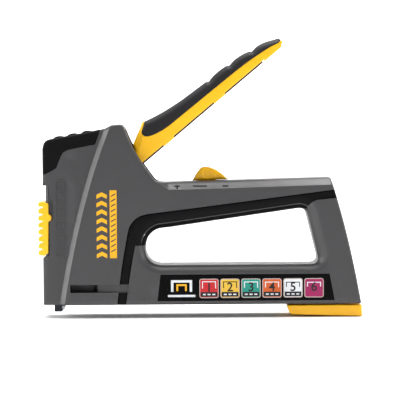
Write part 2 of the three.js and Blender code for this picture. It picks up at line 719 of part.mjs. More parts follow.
function leverShape(drop, notched) {
  const shape = new THREE.Shape();
  shape.moveTo(leverFront, leverUnderside);
  shape.lineTo(leverLength - 1.9, leverUnderside);
  shape.quadraticCurveTo(leverLength - 0.1, leverUnderside + 0.1, leverLength, leverUnderside + 2);
  shape.lineTo(leverLength - 0.6 - drop, leverCrest(leverLength) - drop * 0.5);
  const pitch = (leverLength - 4 - waveStart) / leverWaves;
  for (let i = leverWaves; i > 0; i -= 1) {
    const high = waveStart + pitch * i;
    const low = waveStart + pitch * (i - 1) + (notched ? waveNotch : 0);
    const start = leverCrest(low) - (notched ? waveNotchDepth : 0) - drop;
    if (notched) shape.lineTo(high, leverCrest(high) - drop);
    shape.quadraticCurveTo(low + pitch * 0.36, leverCrest(low) + 0.7 - drop, low, start);
  }
  shape.lineTo(waveStart, leverBack - drop);
  shape.lineTo(waveStart - 18, leverBack + 1.1 - drop);
  const front = leverFront + drop;
  const back = leverBack - drop;
  shape.quadraticCurveTo(leverFront + 36, back + 2.6, front + 25, back + 5.8);
  shape.lineTo(front + 23.7, back + 6.6);
  shape.lineTo(front + 10, back - 0.5);
  shape.lineTo(leverFront + 8, 4.4);
  shape.lineTo(leverFront, 4);
  shape.closePath();
  return shape;
}

// The soft grip's edge on the lever's sides.
function leverGripShape(grow = 0) {
  const shape = new THREE.Shape();
  shape.moveTo(leverFront + 24.6 - grow, leverBack + 10);
  shape.lineTo(leverFront + 24.6 - grow, leverBack + 5.6);
  shape.lineTo(leverFront + 19.2 - grow, leverBack + 2);
  const edge = leverBack - grow;
  shape.quadraticCurveTo(leverFront + 17.4 - grow, edge - 1.4, leverFront + 22, edge - 3.4);
  shape.quadraticCurveTo(leverFront + 28, edge - 5.8, leverFront + 37, edge - 6);
  shape.lineTo(leverLength - 38, edge - 6.8);
  shape.quadraticCurveTo(leverLength - 14, edge - 7.4, leverLength - 2.4 + grow, -1.7 - grow);
  shape.lineTo(leverLength + 4, -0.6 - grow);
  shape.lineTo(leverLength + 4, leverBack + 10);
  shape.closePath();
  return shape;
}

function roofShape(top, from, to) {
  const drop = 2.9;
  return outline([
    [from, leverUnderside - 4], [to, leverUnderside - 4], [to, top - drop], [leverRoofBend, top], [from, top],
  ]);
}

function leverShell() {
  const half = leverWidth / 2;
  const hollowHalf = half - leverWall;
  const outer = slab(leverShape(0, true), -half, half);
  const gripBed = slab(leverGripShape(fit), -half - 1, half + 1);
  const coreHalf = half - leverGripCheek - fit;
  const core = slab(leverShape(leverGripSkin + fit, false), -coreHalf, coreHalf);
  const hollow = roofShape(leverRoof, leverFront - 1, leverChannelEnd + fit);
  let shell = outer.subtract(gripBed.subtract(core)).subtract(slab(hollow, -hollowHalf, hollowHalf));
  for (const [from, to] of leverTabs) {
    const tab = box(from, to, -half, half, leverTabBottom, leverUnderside + 0.5);
    const room = box(0, leverChannelEnd + fit, -hollowHalf, hollowHalf, leverTabBottom - 1, leverUnderside + 1);
    shell = shell.add(tab.subtract(room));
  }
  return shell;
}

function leverGrip() {
  const half = leverWidth / 2;
  const core = slab(leverShape(leverGripSkin, false), -half + leverGripCheek, half - leverGripCheek);
  return slab(leverShape(0, true), -half, half)
    .intersect(slab(leverGripShape(), -half - 1, half + 1))
    .subtract(core);
}

// Folded steel channel inside the lever: two flanges and a web, with eyes for the pivot pin.
function leverCore() {
  const half = leverCoreHalf;
  const top = leverRoof - fit;
  const eye = 8.2;
  const flange = outline([
    [0, -eye], [leverFront + 7, leverTabBottom + 0.1], [leverChannelEnd, leverTabBottom + 0.1],
    [leverChannelEnd, top - 2.9], [leverRoofBend, top], [leverFront - 1, top], [0, eye],
  ]);
  const inside = roofShape(top - 1.2, -30, leverChannelEnd + 5);
  const front = box(-30, leverFront + 11, -half + steelSheet, half - steelSheet, -30, 30);
  const pinHole = crossBar(0, 0, pivotPinRadius + clearance, -20, 20, 24);
  const rivetHole = crossBar(armRivetU, armRivetV, armRivetRadius + fit, -20, 20, 16);
  return slab(flange, -half, half)
    .add(crossBar(0, 0, eye, -half, half, 28))
    .subtract(slab(inside, -half + steelSheet, half - steelSheet))
    .subtract(front)
    .subtract(pinHole)
    .subtract(rivetHole);
}

// The plate that turns the lever's swing into the striker's lift.
function liftArm() {
  const blank = outline([
    [-hookReach, hookRadius], [-hookReach, -hookRadius], [-7, -6.6], [6, -6.4], [11, -4.6],
    [armRivetU + 5, -3.2], [armRivetU + 5, 1.8], [leverFront - 1.5, 3.2], [4, 6.4], [-6, 5.2],
    [-17, hookRadius],
  ]);
  return slab(blank, -armHalf, armHalf)
    .add(crossBar(0, 0, 7.6, -armHalf, armHalf, 24))
    .add(crossBar(-hookReach, 0, hookRadius, -armHalf, armHalf, 16))
    .subtract(crossBar(0, 0, pivotPinRadius + clearance, -20, 20, 24))
    .subtract(crossBar(armRivetU, armRivetV, armRivetRadius + fit, -20, 20, 16));
}

function armRivet() {
  return crossBar(armRivetU, armRivetV, armRivetRadius, -leverCoreHalf, leverCoreHalf, 16);
}

// The claw under the lever that the lock's bar catches.
function catchClaw() {
  const top = leverRoof - fit - 1.2 - fit;
  const claw = outline([
    [clawBack, top], [clawBack, clawLow], [clawReach, clawLow], [clawReach, clawLow + 1.8],
    [clawBack + 4, clawLow + 1.8], [clawBack + 4, top],
  ]);
  return slab(claw, -1.4, 1.4);
}

function leverSpring() {
  const outer = pivotPinRadius + 2.4;
  const wire = 1.1;
  const geometry = coil(outer, wire, leverCoreHalf - steelSheet - armHalf - 2 * clearance, 2, 14, 4);
  geometry.rotateX(-Math.PI / 2);
  geometry.translate(0, armHalf + clearance, 0);
  const leg = post(outer - wire / 2, armHalf + clearance + wire / 2, wire / 2 - 0.05, -0.6, 7.4, 8);
  return toSolid(geometry).add(leg);
}

// ---- striker ------------------------------------------------------------------------------------------
function strikerBlock() {
  const half = strikerWidth / 2;
  const top = strikerFloor + strikerHeight;
  const gap = bladeThickness / 2 + fit;
  const slotHalf = bladeWidth / 2 + fit;
  return box(bladeX - 2.2, yokeX1, -half, half, strikerFloor, top)
    .add(post(springX, 0, springRadius - springWire - 0.5, top - 1, top + 8, 16))
    .subtract(box(bladeX - gap, bladeX + gap, -slotHalf, slotHalf, strikerFloor - 1, top - 1))
    .subtract(longBar(0, rivetZ, strikerPin + fit, bladeX - 5, bladeX + 8))
    .subtract(crossBar(yokeMidX, rivetZ, strikerPin + fit, -20, 20, 16));
}

function driverBlade() {
  const half = bladeThickness / 2;
  const low = undersideHeight - noseDrop + 0.4;
  const high = strikerFloor + strikerHeight - 1.3;
  return box(bladeX - half, bladeX + half, -bladeWidth / 2, bladeWidth / 2, low, high)
    .subtract(longBar(0, rivetZ, strikerPin + fit, bladeX - 3, bladeX + 3));
}

function bladeRivet() {
  return longBar(0, rivetZ, strikerPin, bladeX - 2, bladeX + 7.6);
}

function liftYoke() {
  const inner = strikerWidth / 2 + fit;
  const outer = inner + 1.6;
  return box(yokeX0, yokeX1, -outer, outer, strikerFloor + 2, yokeBarZ + 3)
    .subtract(box(yokeX0 - 1, yokeX1 + 1, -inner, inner, strikerFloor, yokeBarZ))
    .subtract(crossBar(yokeMidX, rivetZ, strikerPin + fit, -20, 20, 16));
}

function yokePin() {
  const half = strikerWidth / 2 + fit + 1.6;
  return crossBar(yokeMidX, rivetZ, strikerPin, -half, half, 16);
}

function driveSpring() {
  const low = strikerFloor + strikerHeight + 0.1;
  const geometry = coil(springRadius, springWire, springTopZ - 0.1 - low, springTurns, 14, 4);
  geometry.translate(springX, 0, low);
  return toSolid(geometry);
}

// ---- selector -----------------------------------------------------------------------------------------
function selectorSlider() {
  const low = selectorFloor;
  const high = low + selectorHeight;
  const profile = outline([
    [frontX, low + 0.5], [frontX + 0.6, low], [frontX + 3.4, low + 2.4], [frontX + 3.6, low + 21.4],
    [frontX + 5.4, low + 22.6], [frontX + 5.4, low + 25], [frontX + 3.6, low + 26.2],
    [frontX + 3.6, high - 1.4], [frontX + 0.2, high],
  ]);
  const inner = frontPlateHalf + clearance;
  const back = frontPlateX - clearance;
  let slider = slab(profile, -noseSide, noseSide).subtract(box(back, frontX + 9, -inner, inner, 0, headTop));
  for (let i = 0; i < selectorTeeth; i += 1) {
    const z = low + 2.1 + i * toothPitch;
    const tooth = outline([
      [frontX + 0.5, z - toothThickness / 2 - 0.3], [frontX - toothReach + 0.7, z - toothThickness / 2],
      [frontX - toothReach, z - 0.5], [frontX - toothReach, z + 0.5],
      [frontX - toothReach + 0.7, z + toothThickness / 2], [frontX + 0.5, z + toothThickness / 2 + 0.3],
    ]);
    slider = slider.add(slab(tooth, -noseSide, noseSide));
  }
  return slider.add(box(back - 0.5, selectorStemEnd, -3, 3, low + 12, low + 17));
}

function selectorClip() {
  const x0 = frontPlateX + frontPlateSheet + fit;
  const low = selectorFloor + 9;
  return box(x0, selectorStemEnd - 0.1, -6, 6, low, low + 11)
    .subtract(box(x0 - 1, x0 + 3, -3 - fit, 3 + fit, low + 3 - fit, low + 8 + fit));
}

// ---- lever lock ---------------------------------------------------------------------------------------
function leverLock() {
  const z = handleHeight;
  const fin = new THREE.Shape();
  fin.moveTo(lockX, z + 0.8);
  fin.quadraticCurveTo(lockX + 2.6, z + 5.2, lockX + 5, z + lockRise - 0.2);
  fin.quadraticCurveTo(lockX + 7.8, z + lockRise + 1, lockX + 13, z + lockRise - 1.2);
  fin.quadraticCurveTo(lockX + 17.6, z + 4.6, lockX + lockLength, z + 1.4);
  fin.closePath();
  const half = lockWidth / 2;
  const slot = box(lockX - 2, lockX + 9.6, -1.8, 1.8, z + 1.6, z + 20);
  const bar = crossBar(lockBarX, lockBarZ, lockBarRadius + fit, -half + 0.8, half - 0.8, 14);
  const neck = box(lockX + 3, lockX + 14.6, -lockNeckHalf, lockNeckHalf, lockFootZ + 1, z + 2);
  const foot = box(lockX, lockX + 18, -lockFootHalf, lockFootHalf, lockFootZ, lockFootZ + lockFootSheet);
  return slab(fin, -half, half, 8).add(neck).add(foot).subtract(slot).subtract(bar);
}

function lockBar() {
  const half = lockWidth / 2;
  return crossBar(lockBarX, lockBarZ, lockBarRadius, -half + 0.95, half - 0.95, 14);
}

// ---- magazine -----------------------------------------------------------------------------------------
function magazineFoot() {
  const x0 = footRear - footLength;
  const foot = outline([
    [x0, footHeight], [x0 + 0.9, 4.1], [x0 + 1.8, 2.1], [x0 + 3.6, footSlope],
    [footRear, 0], [footRear - 0.2, footHeight],
  ]);
  const half = channelHalf - channelWall - clearance;
  const endX = rearX - 10;
  const block = outline([
    [endX, footHeight - 0.5], [rearX + 5, footHeight - 0.5], [rearX + 5, endBlockTop], [endX, endBlockTop],
  ]);
  const within = slab(inset(bodyShape(), 0.5), -half, half);
  const neck = box(endX, rearX - 0.5, -half, half, 2, undersideHeight + 1);
  const end = slab(block, -half, half).intersect(within.add(neck));
  const railGap = railWidth / 2 + fit;
  return slab(foot, -footWidth / 2, footWidth / 2)
    .add(end)
    .subtract(box(endX - 1, railRear + fit, -railGap, railGap, railLow - fit, railTop + fit))
    .subtract(longBar(0, rodZ, rodRadius + fit, endX - 1, endX + 6))
    .subtract(crossBar(footPinX, footPinZ, footPinRadius + fit, -20, 20, 12));
}

function magazineRail() {
  const half = railWidth / 2;
  const sheet = 1;
  return box(railFront, railRear, -half, half, railLow, railTop)
    .subtract(box(railFront - 1, railRear + 1, -half + sheet, half - sheet, railLow - 1, railTop - sheet))
    .subtract(crossBar(footPinX, footPinZ, footPinRadius + fit, -20, 20, 12));
}

function footPin() {
  const half = channelHalf - channelWall - clearance;
  return crossBar(footPinX, footPinZ, footPinRadius, -half, half, 12);
}

function springRod() {
  return longBar(0, rodZ, rodRadius, railFront + 3, rearX - 5, 12);
}

function footClip() {
  const x0 = footRear - footLength + 1.4;
  return box(x0, x0 + 26, -6, 6, footHeight + fit, footHeight + fit + 0.4);
}

function stapleStrip() {
  const x1 = railFront + strip;
  const outer = stapleCrown / 2;
  const inner = outer - stapleWire;
  const crown = railTop + fit;
  return box(railFront, x1, -outer, outer, railLow + 0.3, crown + stapleWire)
    .subtract(box(railFront - 1, x1 + 1, -inner, inner, 0, crown));
}

function pusher() {
  const half = stapleCrown / 2 + 0.3;
  const gap = railWidth / 2 + fit;
  return box(pusherX, pusherX + pusherLength, -half, half, railLow + 0.6, rodZ + 2.3)
    .subtract(box(pusherX - 1, pusherX + pusherLength + 1, -gap, gap, 0, railTop + fit))
    .subtract(longBar(0, rodZ, rodRadius + clearance, pusherX - 1, pusherX + pusherLength + 1, 12));
}

function pusherSpring() {
  const x0 = pusherX + pusherLength + 0.2;
  const length = rearX - 10.2 - x0;
  const geometry = coil(rodRadius + 1.4, 0.8, length, 20, 8, 3);
  geometry.rotateY(Math.PI / 2);
  geometry.translate(x0, 0, rodZ);
  return toSolid(geometry);
}

// ---- the tool -----------------------------------------------------------------------------------------
function material(colour, roughness, metalness = 0) {
  return new THREE.MeshStandardMaterial({ color: colour, roughness, metalness });
}

const darkGrey = () => material(0x4d4b4d, 0.45, 0.2);
const yellow = () => material(0xf7b516, 0.4);
const softBlack = () => material(0x18171a, 0.8);
const blackPlastic = () => material(0x111113, 0.5);
const steel = () => material(0x9a9ca0, 0.35, 1);
const darkSteel = () => material(0x2b2c2f, 0.4, 0.9);
const springSteel = () => material(0x7c7f84, 0.3, 1);

function toMesh(name, solid, finish) {
  const { vertProperties, triVerts } = solid.getMesh();
  const geometry = new THREE.BufferGeometry();
  geometry.setAttribute('position', new THREE.BufferAttribute(vertProperties, 3));
  geometry.setIndex(new THREE.BufferAttribute(triVerts, 1));
  geometry.computeVertexNormals();
  const mesh = new THREE.Mesh(geometry, finish);
  mesh.name = name;
  return mesh;
}

const tool = new THREE.Group();

const halves = housings();
tool.add(toMesh('left_housing', halves.left, darkGrey()));
tool.add(toMesh('right_housing', halves.right, darkGrey()));
tool.add(toMesh('hand_grip', handGrip(), softBlack()));
tool.add(toMesh('head_bumper', headBumper(), softBlack()));
tool.add(toMesh('label_left', label(-1), blackPlastic()));
tool.add(toMesh('label_right', label(1), blackPlastic()));
tool.add(toMesh('front_plate', frontPlate(), darkSteel()));
tool.add(toMesh('nose_tip', noseTip(), darkSteel()));
tool.add(toMesh('nose_pin', crossBar(nosePinX, nosePinZ, nosePinRadius, -6, 6, 16), steel()));
tool.add(toMesh('magazine_channel', magazineChannel(), darkSteel()));
tool.add(toMesh('lever_pivot_pin', pivotPin(), steel()));
tool.add(toMesh('spring_cap', springCap(), darkSteel()));
tool.add(toMesh('striker_buffer', strikerBuffer(), softBlack()));
tool.add(toMesh('lock_leaf_spring', lockLeaf(), springSteel()));
screwPlaces.forEach((place, i) => {
  tool.add(toMesh(`housing_screw_${i + 1}`, housingScrew(place), steel()));
});

const lever = new THREE.Group();
lever.position.set(pivot.x, 0, pivot.y);
lever.rotation.y = -THREE.MathUtils.degToRad(leverOpenAngle);
lever.add(toMesh('lever_shell', leverShell(), yellow()));
lever.add(toMesh('lever_grip', leverGrip(), softBlack()));
lever.add(toMesh('lever_core', leverCore(), darkSteel()));
lever.add(toMesh('lift_arm', liftArm(), steel()));
lever.add(toMesh('arm_rivet', armRivet(), steel()));
lever.add(toMesh('catch_claw', catchClaw(), steel()));
lever.add(toMesh('lever_return_spring', leverSpring(), springSteel()));
tool.add(lever);

tool.add(toMesh('striker_block', strikerBlock(), darkSteel()));
tool.add(toMesh('driver_blade', driverBlade(), steel()));
tool.add(toMesh('blade_rivet', bladeRivet(), steel()));
tool.add(toMesh('lift_yoke', liftYoke(), darkSteel()));
tool.add(toMesh('yoke_pin', yokePin(), steel()));
tool.add(toMesh('drive_spring', driveSpring(), springSteel()));

tool.add(toMesh('selector_slider', selectorSlider(), yellow()));
tool.add(toMesh('selector_clip', selectorClip(), springSteel()));
tool.add(toMesh('lever_lock', leverLock(), yellow()));
tool.add(toMesh('lock_bar', lockBar(), steel()));

tool.add(toMesh('magazine_foot', magazineFoot(), yellow()));
tool.add(toMesh('magazine_rail', magazineRail(), steel()));
tool.add(toMesh('foot_pin', footPin(), steel()));
tool.add(toMesh('foot_clip', footClip(), darkSteel()));
tool.add(toMesh('spring_rod', springRod(), steel()));
tool.add(toMesh('staple_strip', stapleStrip(), steel()));
tool.add(toMesh('pusher', pusher(), blackPlastic()));
tool.add(toMesh('pusher_spring', pusherSpring(), springSteel()));

export default tool;
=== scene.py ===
"""Looks of a hand staple gun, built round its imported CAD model. Sizes in the functions are millimetres."""

import math

import bmesh
import bpy
import numpy as np
from bpy.props import FloatProperty, FloatVectorProperty, IntProperty, PointerProperty
from mathutils import Matrix, Vector
from mathutils.geometry import delaunay_2d_cdt


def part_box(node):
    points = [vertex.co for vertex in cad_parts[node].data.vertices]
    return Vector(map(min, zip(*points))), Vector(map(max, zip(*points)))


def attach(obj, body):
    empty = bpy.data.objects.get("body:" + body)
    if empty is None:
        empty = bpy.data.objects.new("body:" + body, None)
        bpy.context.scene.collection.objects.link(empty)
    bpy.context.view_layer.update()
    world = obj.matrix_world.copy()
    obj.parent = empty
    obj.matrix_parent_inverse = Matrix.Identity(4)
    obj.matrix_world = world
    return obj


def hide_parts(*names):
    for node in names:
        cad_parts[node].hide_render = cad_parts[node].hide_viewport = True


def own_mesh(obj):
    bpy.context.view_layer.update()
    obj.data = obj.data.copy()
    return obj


bl_info = {
    "name": "Staple gun looks",
    "version": (1, 0, 0),
    "blender": (4, 5, 0),
    "location": "View3D > Sidebar > Staple gun",
    "description": "Mouldings, steel parts, prints and studio for a hand staple gun",
    "category": "Object",
}

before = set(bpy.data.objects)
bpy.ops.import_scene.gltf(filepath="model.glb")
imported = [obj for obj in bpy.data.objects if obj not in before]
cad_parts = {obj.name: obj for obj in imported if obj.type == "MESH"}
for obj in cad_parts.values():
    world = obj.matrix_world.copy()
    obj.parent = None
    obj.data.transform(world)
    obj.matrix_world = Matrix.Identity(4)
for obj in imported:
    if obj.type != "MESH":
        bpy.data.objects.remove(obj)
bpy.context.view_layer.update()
MM = 0.001


def corners(node):
    """Lowest and highest corner of a CAD node in millimetres."""
    low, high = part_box(node)
    return low / MM, high / MM


# ---- places that everything is set out from --------------------------------------------------------------
# The housings: FRONT and REAR are their ends, LOW and TOP their underside and roof, SIDE half their width.
HOUSING_LOW, HOUSING_HIGH = corners("left_housing")
FRONT, REAR = HOUSING_LOW.x, HOUSING_HIGH.x
LOW, TOP = HOUSING_LOW.z, HOUSING_HIGH.z
SIDE = -HOUSING_LOW.y
NOSE_SIDE = corners("selector_slider")[1].y
# The handle's top, and the places where the head ends, the handle starts and the rear post's top lies.
HANDLE = TOP - 36
HANDLE_REAR = HANDLE + 2.4
HEAD_REAR = FRONT + 50
HANDLE_FRONT = HEAD_REAR + 20
HANDLE_START = HANDLE_FRONT + 8.5
HANDLE_RISE = 2.3
REAR_TOP = REAR - 18.5
FACE_TOP = HANDLE + 20.8
FRONT_CORNER = 6.2
# Gap all round a piece in its bed.
FIT = 0.15
# The lever: its pivot in X and Z, its lean at rest, half its width, its length and the slot it swings in.
PIN_LOW, PIN_HIGH = corners("lever_pivot_pin")
PIVOT = Vector(((PIN_LOW.x + PIN_HIGH.x) / 2, (PIN_LOW.z + PIN_HIGH.z) / 2))
LEVER_ANGLE = math.radians(39.9)
LEVER_HALF = corners("lever_shell")[1].y
LEVER_LENGTH = 130.7
HEAD_GAP = LEVER_HALF + 0.6
# The magazine's channel, the hand opening, the staple window, the selector and the lock.
CHANNEL_TOP = corners("magazine_channel")[1].z
CHANNEL_HALF = corners("magazine_channel")[1].y
OPENING_FLOOR = 32.4
OPENING_FRONT = FRONT + 63
OPENING_REAR = REAR - 24.5
WINDOW_FLOOR, WINDOW_HEIGHT = 15.7, 4.9
WINDOW_FRONT, WINDOW_REAR = FRONT + 16.8, FRONT + 33.6
SELECTOR_LOW = corners("selector_slider")[0].z
SELECTOR_HEIGHT = corners("selector_slider")[1].z - SELECTOR_LOW
LOCK_X = corners("lever_lock")[0].x
# Walls: the housings, the grip's skins and its lining round the opening, the bumper's sides and its roof,
# the lever's soft back over its sides and over its back, and the plastic beside the lever's steel.
HOUSING_WALL = 2.6
GRIP_SKIN, GRIP_LINING = 1.6, 2.5
PAD_SKIN, PAD_WALL = 1.5, 2.3
LEVER_SKIN, LEVER_PAD, LEVER_WALL = 2.0, 2.3, 2.1
# How steep the step between nose and body is, and how far the scoop behind the staple window runs.
STEP_RISE = 0.95
SCOOP_LENGTH = 28
FAR = 300.0


# ---- sizes and colours that a user would change ----------------------------------------------------------
def colour_prop(name, description, code):
    """A colour that the panel shows, with its default as a hex code."""
    return FloatVectorProperty(name=name, description=description, default=linear(code),
                               subtype="COLOR", size=3, min=0, max=1)


def linear(code):
    """An sRGB hex colour as linear numbers."""
    parts = [int(code[i:i + 2], 16) / 255 for i in (1, 3, 5)]
    return tuple(c / 12.92 if c <= 0.04045 else ((c + 0.055) / 1.055) ** 2.4 for c in parts)


class StapleGunSizes(bpy.types.PropertyGroup):
    """Sizes of rounded edges and of the patterns, in metres"""
    edge_radius: FloatProperty(name="Housing edge radius", default=1.6 * MM, unit="LENGTH",
                               description="Rounding of the housings' outer edges")
    rim_width: FloatProperty(name="Rim width", description="Width of the rolled rim round the hand opening",
                             default=6.5 * MM, unit="LENGTH")
    rim_depth: FloatProperty(name="Rim depth", description="How far the rolled rim turns inwards",
                             default=5.0 * MM, unit="LENGTH")
    steel_edge: FloatProperty(name="Steel edge", description="Broken edge on the steel pieces",
                              default=0.18 * MM, unit="LENGTH")
    spring_turns: IntProperty(name="Drive spring turns", description="Turns of the drive spring", default=8)
    staples: IntProperty(name="Staples", description="Staples left in the magazine", default=8)
    screw_recess: FloatProperty(name="Screw recess", default=1.35 * MM, unit="LENGTH",
                                description="Radius of the hexagon recess in the screws")


class StapleGunColours(bpy.types.PropertyGroup):
    """Colours of the mouldings and prints"""
    housing: colour_prop("Housing", "Dark grey glass-filled nylon", "#383739")
    soft: colour_prop("Soft mouldings", "Black thermoplastic rubber", "#0b0a0c")
    yellow: colour_prop("Yellow", "Yellow ABS of the lever, selector, lock and foot", "#ffbe0a")
    print_yellow: colour_prop("Print", "Yellow ink on the housings", "#f2b21c")


# ---- outlines in X and Z ---------------------------------------------------------------------------------
class Pen:
    """Draws an outline with straight lines and curves."""

    def __init__(self, x, z, steps=14):
        self.points = [(x, z)]
        self.steps = steps

    def line(self, x, z):
        self.points.append((x, z))
        return self

    def curve(self, cx, cz, x, z):
        x0, z0 = self.points[-1]
        for i in range(1, self.steps + 1):
            t = i / self.steps
            a, b, c = (1 - t) ** 2, 2 * t * (1 - t), t * t
            self.points.append((a * x0 + b * cx + c * x, a * z0 + b * cz + c * z))
        return self


def filleted(points, radius, steps=5, least_turn=0.5):
    """The outline with its sharp corners rounded."""
    points = [Vector(p) for p in points]
    found = []
    for i, p in enumerate(points):
        before, after = points[i - 1] - p, points[(i + 1) % len(points)] - p
        if before.length < 1e-6 or after.length < 1e-6:
            continue
        turn = math.pi - before.angle(after)
        if turn < least_turn:
            found.append(p)
            continue
        reach = min(radius * math.tan(turn / 2), before.length * 0.45, after.length * 0.45)
        a, b = p + before.normalized() * reach, p + after.normalized() * reach
        for k in range(steps + 1):
            t = k / steps
            found.append(a * (1 - t) ** 2 + p * 2 * t * (1 - t) + b * t * t)
    return [tuple(p) for p in found]


def nearest(points, loop, closed=True):
    """Distance of each point to an outline, with the index of the nearest stretch."""
    points, loop = np.asarray(points, float), np.asarray(loop, float)
    start = loop if closed else loop[:-1]
    span = (np.roll(loop, -1, 0) if closed else loop[1:]) - (loop if closed else loop[:-1])
    squared = np.maximum((span ** 2).sum(1), 1e-12)
    distance, index = np.empty(len(points)), np.empty(len(points), int)
    for i in range(0, len(points), 4000):
        part = points[i:i + 4000, None, :] - start[None]
        along = np.clip((part * span).sum(2) / squared, 0, 1)
        gap = np.linalg.norm(part - along[..., None] * span, axis=2)
        index[i:i + 4000] = gap.argmin(1)
        distance[i:i + 4000] = gap.min(1)
    return distance, index


def inside(points, loop):
    """Whether each point lies in an outline."""
    points, loop = np.asarray(points, float), np.asarray(loop, float)
    x, z = points[:, 0], points[:, 1]
    found = np.zeros(len(points), bool)
    for (x0, z0), (x1, z1) in zip(loop, np.roll(loop, -1, 0)):
        if z0 == z1:
            continue
        crosses = (z0 > z) != (z1 > z)
        found ^= crosses & (x < (x1 - x0) * (z - z0) / (z1 - z0) + x0)
    return found


def area(loop):
    """Area of an outline: above zero where it runs anticlockwise."""
    x, z = np.asarray(loop, float).T
    return 0.5 * float((x * np.roll(z, -1) - np.roll(x, -1) * z).sum())


def moved(loop, distance):
    """The outline moved inwards, or outwards below zero, by one distance or one for each point.

    Points that the move swallows are dropped."""
    points = np.asarray(loop, float)
    before = points - np.roll(points, 1, 0)
    after = np.roll(points, -1, 0) - points
    before /= np.maximum(np.linalg.norm(before, axis=1), 1e-9)[:, None]
    after /= np.maximum(np.linalg.norm(after, axis=1), 1e-9)[:, None]
    turn = math.copysign(1, area(loop))
    normal = np.stack([-(before + after)[:, 1], (before + after)[:, 0]], 1) * turn
    normal /= np.maximum(np.linalg.norm(normal, axis=1), 1e-9)[:, None]
    square = np.stack([-before[:, 1], before[:, 0]], 1) * turn
    reach = np.broadcast_to(distance, len(points)) / np.maximum((normal * square).sum(1), 0.4)
    made = points + normal * reach[:, None]
    kept = nearest(made, points)[0] > np.abs(np.broadcast_to(distance, len(points))) * 0.97 - 1e-6
    return [tuple(p) for p in made[kept]]


def rectangle(x0, x1, z0, z1):
    """An upright rectangle's corners."""
    return [(x0, z0), (x1, z0), (x1, z1), (x0, z1)]


def circle(x, z, radius, sides=32):
    """A circle's corners."""
    turns = [2 * math.pi / sides * i for i in range(sides)]
    return [(x + radius * math.cos(turn), z + radius * math.sin(turn)) for turn in turns]


def rounded_edge(distance, radius):
    """How far a rounded edge falls away at a distance from it."""
    inward = np.clip(1 - distance / radius, 0, 1)
    return radius * (1 - np.sqrt(1 - inward ** 2))


# ---- solids ----------------------------------------------------------------------------------------------
def new_object(name, mesh):
    """An object in the scene that holds this data."""
    made = bpy.data.objects.new(name, mesh)
    bpy.context.scene.collection.objects.link(made)
    return made


def solid(name, lines, region, front, back):
    """A closed solid between two surfaces over the part of the XZ plane that region accepts.

    lines holds each outline with True where it closes, False where it is open, or None for loose points."""
    points, edges = [], []
    for loop, closed in lines:
        start = len(points)
        points += [Vector(p) for p in loop]
        last = {True: len(points), False: len(points) - 1, None: start}[closed]
        edges += [(i, i + 1 if i + 1 < len(points) else start) for i in range(start, last)]
    places, _, faces, *_ = delaunay_2d_cdt(points, edges, [], 0, 1e-4)
    flat = np.array([tuple(p) for p in places])
    faces = np.array([f for f in faces if len(f) == 3])
    middle = flat[faces].mean(1)
    a, b, c = (flat[faces[:, i]] for i in range(3))
    spread = (b[:, 0] - a[:, 0]) * (c[:, 1] - a[:, 1]) - (c[:, 0] - a[:, 0]) * (b[:, 1] - a[:, 1])
    faces[spread < 0] = faces[spread < 0][:, ::-1]
    faces = faces[region(middle) & (np.abs(spread) > 1e-9)]
    used, faces = np.unique(faces, return_inverse=True)
    faces = faces.reshape(-1, 3)
    flat = flat[used]
    near = front(flat) if callable(front) else np.full(len(flat), float(front))
    far = back(flat) if callable(back) else np.full(len(flat), float(back))
    count = len(flat)
    sides = {(f[i], f[(i + 1) % 3]) for f in faces.tolist() for i in range(3)}
    walls = [(j, i, i + count, j + count) for i, j in sides if (j, i) not in sides]
    vertices = [(x, y, z) for (x, z), y in zip(flat, near)] + [(x, y, z) for (x, z), y in zip(flat, far)]
    mesh = bpy.data.meshes.new(name)
    mesh.from_pydata((np.array(vertices) * MM).tolist(), [],
                     faces.tolist() + (faces[:, ::-1] + count).tolist() + walls)
    return new_object(name, mesh)


def slab(loop, y0, y1, name="slab"):
    """A straight-sided solid of one outline between two Y values."""
    return solid(name, [(loop, True)], lambda p: inside(p, loop), y0, y1)


def soft_slab(loop, y0, y1, radius, name="slab", crown=0.0, levels=6):
    """A solid of one outline with both its edges rounded, and its sides a little crowned if wanted."""
    lines = [(loop, True)]
    for k in range(1, levels + 1):
        level = moved(loop, radius * (1 - math.cos(0.5 * math.pi * k / levels)))
        if len(level) > 2:
            lines.append((level, True))
    if crown:
        inner = [moved(loop, radius * f) for f in (1.5, 2.1, 2.9, 4.0, 5.5)]
        lines += [(level, True) for level in inner if len(level) > 3]

    def fall(p):
        distance = nearest(p, loop)[0]
        return rounded_edge(distance, radius) + crown * np.exp(-distance / (2 * radius))
    return solid(name, lines, lambda p: inside(p, loop), lambda p: y0 + fall(p), lambda p: y1 - fall(p))


def box(x0, x1, y0, y1, z0, z1):
    """A block between these planes."""
    return slab(rectangle(x0, x1, z0, z1), y0, y1)


def bar(x, z, radius, y0, y1, sides=32):
    """A round bar along Y."""
    return slab(circle(x, z, radius, sides), y0, y1)


def long_bar(y, z, radius, x0, x1, sides=24):
    """A round bar along X."""
    made = slab(circle(y, z, radius, sides), x0, x1)
    made.data.transform(Matrix(((0, 1, 0, 0), (1, 0, 0, 0), (0, 0, 1, 0), (0, 0, 0, 1))))
    made.data.flip_normals()
    return made


def bake(piece):
    """Turns the piece and its modifiers into a plain mesh."""
    graph = bpy.context.evaluated_depsgraph_get()
    mesh = bpy.data.meshes.new_from_object(piece.evaluated_get(graph), depsgraph=graph)
    piece.modifiers.clear()
    old, piece.data = piece.data, mesh
    bpy.data.meshes.remove(old)
    return piece


